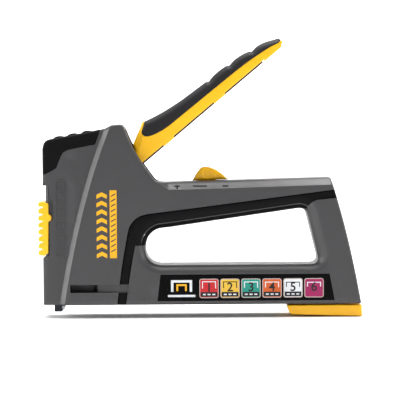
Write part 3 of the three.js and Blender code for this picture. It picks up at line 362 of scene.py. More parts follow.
def shaped(piece, tools, operation="DIFFERENCE"):
    """Cuts the tools out of the piece, or joins them, and removes the tools."""
    for tool in tools:
        modifier = piece.modifiers.new("shape", "BOOLEAN")
        modifier.operation = operation
        modifier.solver = "MANIFOLD"
        modifier.object = tool
        bake(piece)
        if not piece.data.polygons:
            raise RuntimeError(f"{piece.name} vanished when it was cut by {tool.name}")
        mesh = tool.data
        bpy.data.objects.remove(tool)
        bpy.data.meshes.remove(mesh)
    return piece


def copied(piece):
    """A copy of a piece with a mesh of its own."""
    return new_object(piece.name, piece.data.copy())


def joined(name, parts):
    """Several objects as one mesh, with their materials."""
    made = bmesh.new()
    finishes = []
    for part in parts:
        start = len(made.faces)
        made.from_mesh(part.data)
        made.faces.ensure_lookup_table()
        own = list(part.data.materials)
        finishes += [m for m in own if m not in finishes]
        for face in made.faces[start:]:
            face.material_index = finishes.index(own[face.material_index]) if own else 0
        bpy.data.objects.remove(part)
    mesh = bpy.data.meshes.new(name)
    made.to_mesh(mesh)
    made.free()
    for finish in finishes:
        mesh.materials.append(finish)
    return new_object(name, mesh)


def finished(piece, name, finish, body, nodes=(), angle=32):
    """Names the piece, smooths its shading, gives it a material and hangs it on its CAD body."""
    piece.name = piece.data.name = name
    mesh = piece.data
    if finish is not None:
        mesh.materials.clear()
        mesh.materials.append(finish)
    mesh.shade_smooth()
    mesh.set_sharp_from_angle(angle=math.radians(angle))
    modifier = piece.modifiers.new("normals", "WEIGHTED_NORMAL")
    modifier.keep_sharp = True
    bake(piece)
    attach(piece, body)
    if nodes:
        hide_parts(*nodes)
    return piece


def softened(node, name, finish, body, width, segments=2):
    """A steel or small moulded piece: its CAD solid with every edge broken."""
    made = bmesh.new()
    made.from_mesh(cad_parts[node].data)
    bmesh.ops.remove_doubles(made, verts=made.verts, dist=2e-6)
    bmesh.ops.dissolve_limit(made, angle_limit=math.radians(0.8), verts=made.verts, edges=made.edges)
    mesh = bpy.data.meshes.new(name)
    made.to_mesh(mesh)
    made.free()
    piece = new_object(name, mesh)
    modifier = piece.modifiers.new("edges", "BEVEL")
    modifier.width = width
    modifier.segments = segments
    modifier.limit_method = "ANGLE"
    modifier.angle_limit = math.radians(35)
    bake(piece)
    return finished(piece, name, finish, body, [node])


# ---- materials -------------------------------------------------------------------------------------------
# Sizes of the patterns in millimetres: rubbed patches on plastic, clouding on steel and how deep its lines
# are, the print's screen and its thicker patches, and the paper's tooth. LINE_STRETCH is a steel line's
# width over its length.
RUBBED_MM = 7
STAIN_MM, SCRATCH_DEPTH_MM = 9, 0.02
SCREEN_MM, INK_PATCH_MM = 0.45, 5
PAPER_TOOTH_MM = 2
LINE_STRETCH = 0.04


def add_node(tree, kind, inputs=None, **settings):
    """Adds a node with its settings, and sets or links its inputs."""
    made = tree.nodes.new(kind)
    for key, value in settings.items():
        setattr(made, key, value)
    for key, value in (inputs or {}).items():
        if isinstance(value, bpy.types.NodeSocket):
            tree.links.new(value, made.inputs[key])
        else:
            made.inputs[key].default_value = value
    return made


def per_metre(size_mm):
    """The scale of a pattern whose features are this big."""
    return 1 / (size_mm * MM)


def new_material(name):
    """An empty material with its tree, shader and place."""
    found = bpy.data.materials.get(name)
    if found:
        bpy.data.materials.remove(found)
    material = bpy.data.materials.new(name)
    material.use_nodes = True
    tree = material.node_tree
    tree.nodes.clear()
    shader = add_node(tree, "ShaderNodeBsdfPrincipled")
    add_node(tree, "ShaderNodeOutputMaterial", {"Surface": shader.outputs["BSDF"]})
    place = add_node(tree, "ShaderNodeTexCoord").outputs["Object"]
    return material, tree, shader, place


def toned(tree, factor, dark, light):
    """A colour that runs between two tones."""
    ramp = add_node(tree, "ShaderNodeValToRGB", {"Fac": factor})
    ramp.color_ramp.elements[0].position = 0.3
    ramp.color_ramp.elements[0].color = (*dark, 1)
    ramp.color_ramp.elements[1].position = 0.7
    ramp.color_ramp.elements[1].color = (*light, 1)
    return ramp.outputs["Color"]


def between(tree, value, low, high):
    """A number that follows a pattern between two ends."""
    return add_node(tree, "ShaderNodeMapRange", {"Value": value, "From Min": 0.25, "From Max": 0.75,
                                                 "To Min": low, "To Max": high}).outputs["Result"]


def scaled(colour, factor):
    """The colour made brighter or darker, held at white."""
    return tuple(min(1.0, c * factor) for c in colour)


def noise(tree, place, size_mm, detail, roughness=0.5):
    """Cloudy noise whose features are this big."""
    return add_node(tree, "ShaderNodeTexNoise", {
        "Vector": place, "Scale": per_metre(size_mm), "Detail": detail, "Roughness": roughness})


def moulded(name, colour, spread, roughness, grain_mm, grain_depth_mm, blotch_mm=26, edge_wear_and_highlight=0.0):
    """A moulded plastic: the mould's spark-eroded grain as bump, with faint tone and gloss blotches."""
    material, tree, shader, place = new_material(name)
    blotch = noise(tree, place, blotch_mm, 3.0)
    grain = noise(tree, place, grain_mm, 2.0, 0.6)
    rubbed = noise(tree, place, RUBBED_MM, 6.0, 0.7)
    tone = toned(tree, blotch.outputs["Fac"], scaled(colour, 1 - spread), scaled(colour, 1 + spread))
    # Convex edges, found by pointiness, are lightened in rubbed patches: partly wear, partly a painted edge
    # highlight.
    if edge_wear_and_highlight:
        corner = add_node(tree, "ShaderNodeNewGeometry").outputs["Pointiness"]
        edge = add_node(tree, "ShaderNodeMapRange", {"Value": corner, "From Min": 0.52, "From Max": 0.62})
        worn_and_lit = add_node(tree, "ShaderNodeMath", {0: edge.outputs["Result"], 1: rubbed.outputs["Fac"]},
                        operation="MULTIPLY")
        edged = add_node(tree, "ShaderNodeMixRGB", {
            "Fac": worn_and_lit.outputs[0], "Color1": tone, "Color2": (*scaled(colour, 1 + edge_wear_and_highlight), 1)})
        tone = edged.outputs["Color"]
    speck = add_node(tree, "ShaderNodeMixRGB", {"Fac": 0.1, "Color1": tone, "Color2": grain.outputs["Fac"]},
                     blend_type="OVERLAY")
    tree.links.new(speck.outputs["Color"], shader.inputs["Base Color"])
    gloss = between(tree, rubbed.outputs["Fac"], roughness - 0.05, roughness + 0.07)
    tree.links.new(gloss, shader.inputs["Roughness"])
    bump = add_node(tree, "ShaderNodeBump", {
        "Height": grain.outputs["Fac"], "Distance": grain_depth_mm * MM, "Strength": 0.6})
    tree.links.new(bump.outputs["Normal"], shader.inputs["Normal"])
    return material, shader


def steel(name, colour, roughness, along, scratch_mm=0.5, tarnish=0.25):
    """A steel surface with drawing or grinding lines along one axis, and faint tarnish."""
    material, tree, shader, place = new_material(name)
    stretch = [1.0, 1.0, 1.0]
    stretch[along] = LINE_STRETCH
    lines = add_node(tree, "ShaderNodeMapping", {"Vector": place, "Scale": stretch})
    scratch = noise(tree, lines.outputs["Vector"], scratch_mm, 3.0)
    stain = noise(tree, place, STAIN_MM, 4.0)
    tone = toned(tree, stain.outputs["Fac"], scaled(colour, 1 - tarnish), colour)
    tree.links.new(tone, shader.inputs["Base Color"])
    gloss = between(tree, scratch.outputs["Fac"], roughness - 0.08, roughness + 0.1)
    tree.links.new(gloss, shader.inputs["Roughness"])
    bump = add_node(tree, "ShaderNodeBump", {
        "Height": scratch.outputs["Fac"], "Distance": SCRATCH_DEPTH_MM * MM, "Strength": 0.5})
    tree.links.new(bump.outputs["Normal"], shader.inputs["Normal"])
    shader.inputs["Metallic"].default_value = 1.0
    return material


def printed(name, colour, roughness=0.3, shine=0.35):
    """Screen-printed ink or film: even colour, with a faint screen pattern and small thickness changes."""
    material, tree, shader, place = new_material(name)
    screen = add_node(tree, "ShaderNodeTexVoronoi", {"Vector": place, "Scale": per_metre(SCREEN_MM)})
    patch = noise(tree, place, INK_PATCH_MM, 2.0)
    tone = toned(tree, patch.outputs["Fac"], scaled(colour, 0.94), scaled(colour, 1.04))
    dots = add_node(tree, "ShaderNodeMixRGB", {
        "Fac": 0.04, "Color1": tone, "Color2": screen.outputs["Distance"]}, blend_type="MULTIPLY")
    tree.links.new(dots.outputs["Color"], shader.inputs["Base Color"])
    gloss = between(tree, patch.outputs["Fac"], roughness - 0.04, roughness + 0.06)
    tree.links.new(gloss, shader.inputs["Roughness"])
    shader.inputs["Specular IOR Level"].default_value = shine
    return material


FINISH = {}
INKS = (("red", "#c41e25"), ("gold", "#e3b93c"), ("teal", "#1c8f7f"), ("orange", "#cc5a22"),
        ("white", "#dfe3e8"), ("magenta", "#9c1558"), ("dark", "#121214"), ("border", "#b9a7a2"))


def make_materials(colours):
    """Makes every finish but the backdrop's, and keeps it by its short name."""
    # Glass-filled nylon, moulded: an even dark grey with a fine spark grain and a satin sheen, paler in
    # patches on its convex edges, which is partly rubbed wear and partly a painted edge highlight. The real
    # grain is about 0.1 mm; it is drawn at 0.7 mm so that it shows.
    FINISH["nylon"], shader = moulded("glass_filled_nylon", tuple(colours.housing), 0.035, 0.44, 0.7, 0.06,
                                      edge_wear_and_highlight=0.5)
    shader.inputs["IOR"].default_value = 1.53
    # Thermoplastic rubber, overmoulded: near black, soft and dull, with a fine matt grain that scatters a
    # weak grey sheen over its rounded parts.
    FINISH["rubber"], shader = moulded("thermoplastic_rubber", tuple(colours.soft), 0.12, 0.56, 0.8, 0.08)
    shader.inputs["Specular IOR Level"].default_value = 0.1
    # The same rubber on the lever's back, copied a little paler as painted light for the light that falls on
    # the lever's back, with a weak sheen.
    painted_lit_tone = scaled(tuple(colours.soft), 2.4)
    FINISH["lever_rubber"], shader = moulded("rubber_painted_lit", painted_lit_tone, 0.12, 0.5, 0.8, 0.08)
    shader.inputs["Specular IOR Level"].default_value = 0.3
    shader.inputs["Sheen Weight"].default_value = 0.06
    shader.inputs["Sheen Roughness"].default_value = 0.5
    # ABS, moulded: bright yellow with a smooth satin face and a warm glow from light inside the plastic.
    FINISH["abs"], shader = moulded("yellow_abs", tuple(colours.yellow), 0.03, 0.34, 1.2, 0.03)
    shader.inputs["Subsurface Weight"].default_value = 0.08
    shader.inputs["Subsurface Radius"].default_value = (1.0, 0.5, 0.1)
    shader.inputs["Subsurface Scale"].default_value = 1.2 * MM
    # Acetal, moulded: slippery black plastic of the pusher, smoother than the rubber.
    FINISH["acetal"], _ = moulded("black_acetal", linear("#141416"), 0.1, 0.38, 0.9, 0.03)
    # Sheet steel, chemically blackened: dark, half dull, with rolling lines and brown-grey clouding.
    FINISH["black_steel"] = steel("blackened_steel", linear("#3a3b3e"), 0.42, 0)
    # Sheet steel, phosphated: an even mid grey, duller than the plated pieces.
    FINISH["phosphated"] = steel("phosphated_steel", linear("#77777a"), 0.48, 2, 0.5, 0.15)
    # Zinc-plated steel, barrel plated: pale and bright with faint lines.
    FINISH["zinc"] = steel("zinc_plated_steel", linear("#b4b6ba"), 0.3, 0, 0.4, 0.15)
    # Hardened tool steel, ground along its length: the driver blade, rail and rod.
    FINISH["ground"] = steel("ground_tool_steel", linear("#a2a4a8"), 0.28, 0, 0.3, 0.12)
    # Oil-tempered spring wire: grey-brown steel drawn along the wire.
    FINISH["wire"] = steel("spring_wire", linear("#7d7c7a"), 0.33, 2, 0.6, 0.2)
    # Polyester film with a gloss face, printed black from behind.
    FINISH["film"] = printed("gloss_black_film", linear("#040405"), 0.24, 0.06)
    # Screen inks on the film and on the housings: flat even colours with a faint screen pattern.
    FINISH["ink_yellow"] = printed("yellow_ink", tuple(colours.print_yellow), 0.4)
    for name, code in INKS:
        FINISH[name] = printed(name + "_ink", linear(code), 0.3)


# ---- the housings' outlines ------------------------------------------------------------------------------
def roof_at(x):
    """Height of the head's sloping roof."""
    slope = (TOP - 2.6 - FACE_TOP - FRONT_CORNER) / 33.9
    return FACE_TOP + FRONT_CORNER + (x - FRONT - 4.6) * slope


def body_outline():
    """The body's side: nose, sloping roof, steep back of the head, handle and leaning rear."""
    roof = FACE_TOP + FRONT_CORNER
    pen = Pen(FRONT, LOW, 18).line(REAR, LOW)
    pen.curve(REAR - 7.3, LOW + 42.7, REAR_TOP, HANDLE_REAR)
    pen.line(HANDLE_START, HANDLE + 0.1)
    pen.curve(HANDLE_FRONT + 2, HANDLE - 0.4, HANDLE_FRONT - 0.8, HANDLE + 1.5)
    pen.curve(HEAD_REAR + 7, TOP - 18.9, HEAD_REAR + 0.9, TOP - 2.7)
    pen.curve(HEAD_REAR - 0.4, TOP, HEAD_REAR - 2.6, TOP)
    pen.line(HEAD_REAR - 7, TOP - 0.4)
    pen.curve(HEAD_REAR - 9.5, TOP - 1.8, HEAD_REAR - 11.5, TOP - 2.6)
    pen.line(FRONT + 4.6, roof)
    pen.curve(FRONT + 0.6, roof - 0.6, FRONT, FACE_TOP)
    return filleted(pen.points, 0.9)


def opening_outline():
    """The hand opening: a round front, a sloping roof and a leaning rear."""
    x, top_rear, lean = OPENING_FRONT, HANDLE_REAR - 18.4, OPENING_REAR - 9.6
    pen = Pen(x + 9.5, OPENING_FLOOR, 16).line(OPENING_REAR - 6.5, OPENING_FLOOR)
    pen.curve(OPENING_REAR - 1.5, OPENING_FLOOR + 0.2, OPENING_REAR - 2.2, OPENING_FLOOR + 5)
    pen.line(lean + 1.1, top_rear - 4.6)
    pen.curve(lean, top_rear, lean - 5, top_rear - 0.6)
    pen.line(x + 15.5, HANDLE - 27.7)
    pen.curve(x + 11.5, HANDLE - 28.1, x + 9, OPENING_FLOOR + 22.6)
    pen.curve(x + 0.6, OPENING_FLOOR + 20, x + 0.1, OPENING_FLOOR + 10.4)
    pen.curve(x + 0.6, OPENING_FLOOR + 1.2, x + 9.5, OPENING_FLOOR)
    return thinned(pen.points)


def thinned(points, least=0.05):
    """Drops points that lie on the one before."""
    return [p for i, p in enumerate(points) if (Vector(p) - Vector(points[i - 1])).length > least]


def grip_outline(grow=0.0):
    """The soft grip's side: from the underside, round the opening's front and along its roof."""
    x = OPENING_FRONT
    bend, low, point = x - 9.1, LOW - 2 - grow, OPENING_FLOOR + 12.3
    top, under = HANDLE + grow, HANDLE_REAR - grow
    pen = Pen(x - 17.4 - grow, low, 16)
    pen.curve(x - 14.4 - grow, OPENING_FLOOR + 2, bend - 0.8 - grow, HANDLE - 28.6)
    pen.curve(bend + 2.2 - grow, top - 20.6, bend + 11.5, top - 19.4)
    pen.line(bend + 42, top - 15.7)
    pen.line(REAR_TOP + 8 + grow, HANDLE_REAR - 6.8 + grow)
    pen.line(REAR_TOP + 8 + grow, HANDLE_REAR - 12 - grow)
    pen.line(REAR_TOP - 8.5, under - 13.6)
    pen.curve(REAR_TOP - 13.4 + grow, under - 15.2, REAR_TOP - 15, under - 19)
    pen.line(x + 24, OPENING_FLOOR + 21.6).line(x + 12, OPENING_FLOOR + 18)
    pen.line(x + 4, point - grow).line(x - 6.1 + grow, point - grow)
    pen.curve(x - 9.4 + grow, OPENING_FLOOR - 4, x - 12.2 + grow, low)
    return thinned(pen.points)


def pad_outline(grow=0.0):
    """The bumper's side, which runs out past the head so that the body cuts it."""
    points = [
        (FRONT - 4, HANDLE + 5 - grow), (FRONT + 1.7 + grow * 0.4, HANDLE + 5.5 - grow),
        (FRONT + 8.6 + grow * 0.4, HANDLE + 9.3 - grow), (FRONT + 11.2 + grow, HANDLE + 16.2 - grow),
        (FRONT + 13, HANDLE + 19 - grow), (FRONT + 16.4, HANDLE + 20.6 - grow),
        (FRONT + 32.6 + grow, HANDLE + 23.7 - grow), (FRONT + 35.4 + grow, HANDLE + 31.5),
        (FRONT + 36.4 + grow, HANDLE + 37), (FRONT - 4, HANDLE + 37)]
    return filleted(points, 1.4, least_turn=0.3)


def step_line():
    """The edge of the narrower nose, from the underside to the head's top."""
    pen = Pen(FRONT + 8.7, LOW - 9, 30)
    pen.curve(FRONT + 19, HANDLE - 15.5, FRONT + 37.6, HANDLE + 30.9)
    pen.line(FRONT + 40.7, TOP + 3)
    return np.array(pen.points)


def label_outline(grow=0.0):
    """The label: a long panel with leaning ends."""
    left, low, high = OPENING_FRONT + 9.6, LOW + 2.4, OPENING_FLOOR - 5.9
    return filleted([
        (left - 2 - grow, low - grow), (OPENING_REAR + 7.8 + grow, low - grow),
        (OPENING_REAR + 4.8 + grow, high + grow), (left - grow, high + grow)], 0.5)


def handle_top(x):
    """Height of the handle's top edge."""
    return HANDLE + 0.1 + (x - HANDLE_START) * HANDLE_RISE / (REAR_TOP - HANDLE_START)


BODY = body_outline()
OPENING = opening_outline()
STEP = step_line()
STEP_DEPTH = SIDE - NOSE_SIDE
CHAMFER = 4.4
RIM_SLOPE = 0.36
GRIP_PROUD, GRIP_EDGE = 0.3, 0.8
GRIP_DISH_DEPTH, GRIP_DISH_WIDTH = 1.1, 4.2
# The slanted front end of the handle's chamfer.
FACET = (Vector((HANDLE_FRONT - 0.8, HANDLE + 1.5)), Vector((HANDLE_FRONT + 7.8, HANDLE - 4.8)))


def rim_widths(width):
    """Width of the rolled rim at each point of the opening: narrower along its floor and at its front."""
    points = np.array(OPENING)
    run = np.roll(points, -1, 0) - np.roll(points, 1, 0)
    run /= np.linalg.norm(run, axis=1)[:, None]
    down = np.clip(run[:, 0] if area(OPENING) > 0 else -run[:, 0], 0, 1)
    ahead = np.clip(1 - (points[:, 0] - OPENING_FRONT) / 20, 0, 1) * (points[:, 1] < OPENING_FLOOR + 14)
    raw = width * (1 - 0.25 * down ** 2) * (1 - 0.2 * ahead)
    kernel = np.hanning(9) / np.hanning(9).sum()
    return np.convolve(np.concatenate([raw[-4:], raw, raw[:4]]), kernel, "valid")


def body_half(points, sizes, grip=False):
    """Half the body's width at places of its side: flat faces, step, chamfers, and the rolled rim."""
    x, z = points[:, 0], points[:, 1]
    ahead = (x - np.interp(z, STEP[:, 1], STEP[:, 0])) * STEP_RISE
    half = NOSE_SIDE + np.clip(ahead, 0, STEP_DEPTH)
    normal = Vector((-(FACET[1] - FACET[0]).y, (FACET[1] - FACET[0]).x)).normalized()
    behind = (x - FACET[0].x) * normal.x + (z - FACET[0].y) * normal.y
    behind = np.minimum(behind, x - FACET[0].x)
    half -= np.minimum(np.clip(CHAMFER - (handle_top(x) - z), 0, None), np.clip(1.2 * behind, 0, None))
    half -= rounded_edge(nearest(points, BODY)[0], sizes.edge_radius / MM)
    gap, index = nearest(points, OPENING)
    width = rim_widths(sizes.rim_width / MM)[index]
    inward = np.clip(1 - gap / width, 0, 1)
    softness = 2.4 if grip else 0.8
    half -= RIM_SLOPE * 0.5 * (width - gap + np.sqrt((width - gap) ** 2 + softness ** 2))
    half -= (sizes.rim_depth / MM - 1) * (1 - np.sqrt(1 - inward ** 2))
    if grip:
        dish = 1 - np.exp(-((gap - width) / GRIP_DISH_WIDTH) ** 2)
        edge = nearest(points, grip_outline())[0]
        half += GRIP_PROUD - rounded_edge(edge, GRIP_EDGE) - GRIP_DISH_DEPTH * dish * (gap > width)
    return half


def rounding_lines(loop, radius, levels=5):
    """The lines that a rounded edge needs, closer together near the edge."""
    steps = [1 - math.cos(0.5 * math.pi * k / levels) for k in range(1, levels + 1)]
    return [(moved(loop, radius * step), True) for step in steps]


def loose_points(x0, x1, z0, z1, pitch):
    """A net of points that keeps the triangles of a broad face small."""
    return [(x, z) for x in np.arange(x0, x1, pitch) for z in np.arange(z0, z1, pitch)]


def body_lines(sizes):
    """Every line on the side of the body that its surface has to follow."""
    lines = [(BODY, True), (OPENING, True)] + rounding_lines(BODY, sizes.edge_radius / MM)
    widths = rim_widths(sizes.rim_width / MM)
    for level in (0.01, 0.04, 0.09, 0.16, 0.26, 0.38, 0.52, 0.68, 0.84, 0.94, 1.0, 1.06, 1.16):
        lines.append((moved(OPENING, -widths * level), True))
    wide = STEP_DEPTH / STEP_RISE
    lines += [(STEP.tolist(), False), ([(x + wide, z) for x, z in STEP], False)]
    end = REAR_TOP + 12
    lines.append(([tuple(FACET[0]), tuple(FACET[1])], False))
    lines.append(([tuple(FACET[1]), (end, handle_top(end) - CHAMFER)], False))
    lines.append(([tuple(FACET[1]), (FACET[1].x - 0.3, HANDLE + 0.4)], False))
    lines.append((loose_points(FRONT + 3, REAR - 3, LOW + 3, TOP - 3, 4.0), None))
    return lines


def in_body(points):
    """Whether each point lies on the body and outside the hand opening."""
    return inside(points, BODY) & ~inside(points, OPENING)


# ---- what is cut out of the housings ---------------------------------------------------------------------
def hollows():
    """The rooms inside the head, the front post, the handle and the rear post."""
    back = FRONT + 34.5
    head_floor = CHANNEL_TOP + 9.5
    skins = HOUSING_WALL + 2.3
    head = [(FRONT + 5.4, head_floor), (back, head_floor), (back, roof_at(back) - skins),
            (FRONT + 7.6, roof_at(FRONT + 7.6) - skins), (FRONT + 5.4, FACE_TOP - 0.5)]
    half = SIDE - HOUSING_WALL - GRIP_SKIN
    post = [(FRONT + 38, head_floor - 4), (FRONT + 43, head_floor - 4), (FRONT + 45.6, OPENING_FLOOR + 18),
            (FRONT + 50, HANDLE - 18), (FRONT + 50, HANDLE - 14.5), (FRONT + 38, HANDLE - 14.5)]
    handle = [(FRONT + 69.5, HANDLE - 17.2), (REAR_TOP - 11, HANDLE_REAR - 11.4),
              (REAR_TOP - 11, HANDLE_REAR - 4.8), (FRONT + 69.5, HANDLE - 4.8)]
    lean = [(OPENING_REAR + 3, CHANNEL_TOP + 11.5), (REAR - 8.4, CHANNEL_TOP + 11.5),
            (REAR - 12.4, HANDLE - 29), (OPENING_REAR + 0.5, HANDLE - 29)]
    return [slab(head, -HEAD_GAP, HEAD_GAP), slab(post, -half, half),
            slab(handle, CHAMFER / 2 - half, half - CHAMFER / 2), slab(lean, -half, half)]


def lever_slot():
    """The slot in the head and the handle that the lever swings in."""
    floor = HANDLE + 0.2
    swing = [(PIVOT.x - 14, PIVOT.y - 17), (PIVOT.x - 5, PIVOT.y - 14), (PIVOT.x + 8, PIVOT.y - 12.5),
             (PIVOT.x + 15, floor), (HANDLE_FRONT + 30, floor + 1), (HANDLE_FRONT + 30, TOP + 8),
             (HEAD_REAR + 12, TOP + 8), (HEAD_REAR - 3, TOP - 7), (PIVOT.x - 14, TOP - 9)]
    return slab(filleted(swing, 1.5), -HEAD_GAP, HEAD_GAP)


def selector_notches():
    """The notches in the front that the selector slides in, and the slit for its clip."""
    low, high = SELECTOR_LOW - 0.9, SELECTOR_LOW + SELECTOR_HEIGHT + 9.7
    nub_low = SELECTOR_LOW + 21.4
    nub_high = nub_low + 14.3
    notch = filleted([
        (FRONT - 6, low), (FRONT + 0.6, low), (FRONT + 4.2, low + 1.6), (FRONT + 4.3, nub_low),
        (FRONT + 6.4, nub_low + 1.6), (FRONT + 6.4, nub_high - 1.6), (FRONT + 4.6, nub_high),
        (FRONT + 4.1, high - 0.6), (FRONT + 0.2, high + 2.2), (FRONT - 6, high + 2.2)], 0.6)
    inner = NOSE_SIDE - 2.4
    plate = corners("front_plate")[1].x + FIT
    return [slab(notch, inner, SIDE + 2), slab(notch, -SIDE - 2, -inner),
            box(FRONT - 6, plate, -inner - 0.2, inner + 0.2, low, high),
            box(plate - 0.1, FRONT + 4.2, 5 - inner, inner - 5, low, high)]


def staple_window():
    """The slot that shows the staples, and the shallow scoop that runs back from it on each side."""
    roof = WINDOW_FLOOR + WINDOW_HEIGHT
    slot = filleted(rectangle(WINDOW_FRONT, WINDOW_REAR, WINDOW_FLOOR, roof), 0.5)
    tools = [slab(slot, -SIDE - 1, SIDE + 1)]
    deep, rise = 3.2, 3.8
    for sign in (1, -1):
        lines = [(rectangle(WINDOW_REAR - 0.5, WINDOW_REAR + SCOOP_LENGTH, WINDOW_FLOOR, roof), True)]

        def floor(points, sign=sign):
            return sign * (SIDE - deep + rise * (points[:, 0] - WINDOW_REAR) / SCOOP_LENGTH)
        outer = sign * (SIDE + 2.0)
        faces = (floor, outer) if sign > 0 else (outer, floor)
        tools.append(solid("scoop", lines, lambda p: np.ones(len(p), bool), *faces))
    return tools


def screw_places():
    """Centre and face of each housing screw, from its CAD piece."""
    found = []
    for number in range(1, 6):
        low, high = corners(f"housing_screw_{number}")
        found.append(((low.x + high.x) / 2, (low.z + high.z) / 2, high.y + 0.4))
    return found


def screw_holes():
    """Shaft holes and counterbores for the housing screws."""
    shaft, seat, depth = 1.65, 3.4, 2.75
    tools = []
    for x, z, face in screw_places():
        tools.append(bar(x, z, shaft, -SIDE + 5, face + 1, 16))
        tools.append(bar(x, z, seat, face - depth, SIDE + 4, 40))
    return tools


def magazine_rooms():
    """The rooms for the channel, the blade and the nose tip."""
    ceiling = CHANNEL_TOP + FIT
    channel = FRONT + 12.4
    blade = 6.6
    return [box(channel - 0.1, REAR + 5, -CHANNEL_HALF - FIT, CHANNEL_HALF + FIT, -2, ceiling),
            box(FRONT + 7, channel, -blade, blade, -2, CHANNEL_TOP + 10.5),
            box(FRONT + 6.2, channel, -7.75, 7.75, -2, ceiling)]


def lock_rooms():
    """The slot that the lock slides in and the wider room under it."""
    start, end = LOCK_X - 8, LOCK_X + 23
    floor = HANDLE - 4.9
    return [box(start + 2, end - 5, -3.6, 3.6, floor, TOP),
            box(start, end, -6.8, 6.8, floor - 3.2, floor + 2.3)]


def grip_core(fit, rim):
    """The housings' body inside the soft grip: between the two skins and outside the lining."""
    half = SIDE - GRIP_SKIN - fit
    return shaped(box(FRONT - 1, REAR + 9, -half, half, 0, TOP), [slab(rim, -SIDE, SIDE)])


def grip_bed():
    """What the soft grip leaves of the housings."""
    rim = moved(OPENING, -GRIP_LINING - FIT)
    bed = slab(grip_outline(FIT), -SIDE - 2, SIDE + 2)
    return shaped(bed, [grip_core(FIT, rim)])


def pad_bed():
    """What the bumper leaves of the housings."""
    half = NOSE_SIDE - PAD_SKIN - FIT
    core = slab(moved(BODY, PAD_WALL + FIT), -half, half)
    return shaped(slab(pad_outline(FIT), -SIDE, SIDE), [core])


def handle_marks():
    """Short engraved marks beside the lock: a plus and two dashes, cut in the handle's chamfer."""
    tools = []
    z = HANDLE - 2.4
    deep = 2.7
    for ahead, wide, high in ((-9.4, 3.4, 0.9), (-9.4, 0.9, 3.4), (4.5, 8.6, 0.8), (20.3, 3.6, 0.8)):
        x = LOCK_X + ahead
        loop = rectangle(x - wide / 2, x + wide / 2, z - high / 2, z + high / 2)
        tools += [slab(loop, -SIDE, deep - SIDE), slab(loop, SIDE - deep, SIDE)]
    return tools


def frame_lines(x, z, wide, high, line, radius):
    """An upright rounded frame as its outer and inner outlines."""
    left, right, low, high = x - wide / 2, x + wide / 2, z - high / 2, z + high / 2
    outer = filleted(rectangle(left, right, low, high), radius)
    inner = filleted(rectangle(left + line, right - line, low + line, high - line), max(radius - line, 0.2))
    return outer, inner


def staple_mark(x, z, wide, high, line):
    """A staple's outline: a crown with two legs."""
    left, right, low, top = x - wide / 2, x + wide / 2, z - high / 2, z + high / 2
    return [(left, low), (left + line, low), (left + line, top - line), (right - line, top - line),
            (right - line, low), (right, low), (right, top), (left, top)]


def raised_marks(sign):
    """The column of raised staple marks beside the selector, each in its thin frame."""
    tools = []
    x = FRONT + 11.4
    inner, outer = sorted((sign * (NOSE_SIDE - 0.4), sign * (NOSE_SIDE + 0.4)))
    pitch = 8.1
    for number in range(6):
        z = SELECTOR_LOW + 3 + number * pitch
        outer_loop, inner_loop = frame_lines(x, z, 6.8, 6.8, 0.55, 0.9)
        ring = solid("ring", [(outer_loop, True), (inner_loop, True)],
                     lambda p, a=outer_loop, b=inner_loop: inside(p, a) & ~inside(p, b), inner, outer)
        tools.append(ring)
        legs = 1.6 + 0.34 * number
        tools.append(slab(staple_mark(x, z, 3.6, legs, 0.6), inner, outer))
    return tools


def whole_housing(sizes):
    """Both housings as one solid, before it is parted down its middle."""
    body = solid("housing", body_lines(sizes), in_body,
                 lambda p: -body_half(p, sizes), lambda p: body_half(p, sizes))
    tools = hollows()
    # The head's hollow leaves the boss of the fifth screw standing.
    boss = bar(*screw_places()[4][:2], 4.4, -SIDE, SIDE, 40)
    tools[0] = shaped(tools[0], [boss])
    tools += [lever_slot(), grip_bed(), pad_bed()]
    tools += magazine_rooms() + selector_notches() + staple_window() + lock_rooms() + screw_holes()
    low, high = corners("front_plate")
    tools.append(box(low.x - FIT, high.x + FIT, low.y - FIT, high.y + FIT, low.z - FIT, high.z + FIT))
    tools.append(bar(PIVOT.x, PIVOT.y, 3.15, PIN_LOW.y - FIT, PIN_HIGH.y + FIT, 40))
    label, deep = label_outline(FIT), 0.75
    tools += [slab(label, -SIDE - 1, deep - SIDE), slab(label, SIDE - deep, SIDE + 1)]
    tools += handle_marks()
    return shaped(body, tools)


# ---- smaller mouldings -----------------------------------------------------------------------------------
def grip_moulding(sizes):
    """The soft grip: a little proud of the housings, and dished beyond the rolled rim."""
    outline = grip_outline()
    lines = body_lines(sizes) + [(outline, True)] + rounding_lines(outline, GRIP_EDGE)
    widths = rim_widths(sizes.rim_width / MM)
    for extra in (2.0, 3.2, 4.6):
        lines.append((moved(OPENING, -widths - extra), True))

    def region(points):
        return in_body(points) & inside(points, outline)
    skin = solid("grip", lines, region,
                 lambda p: -body_half(p, sizes, True), lambda p: body_half(p, sizes, True))
    groove = rectangle(FRONT, FRONT + 64, WINDOW_FLOOR - FIT, WINDOW_FLOOR + WINDOW_HEIGHT + FIT)
    return shaped(skin, [grip_core(0, moved(OPENING, -GRIP_LINING)),
                         slab(groove, SIDE - 2, SIDE + 2), slab(groove, -SIDE - 2, 2 - SIDE)])


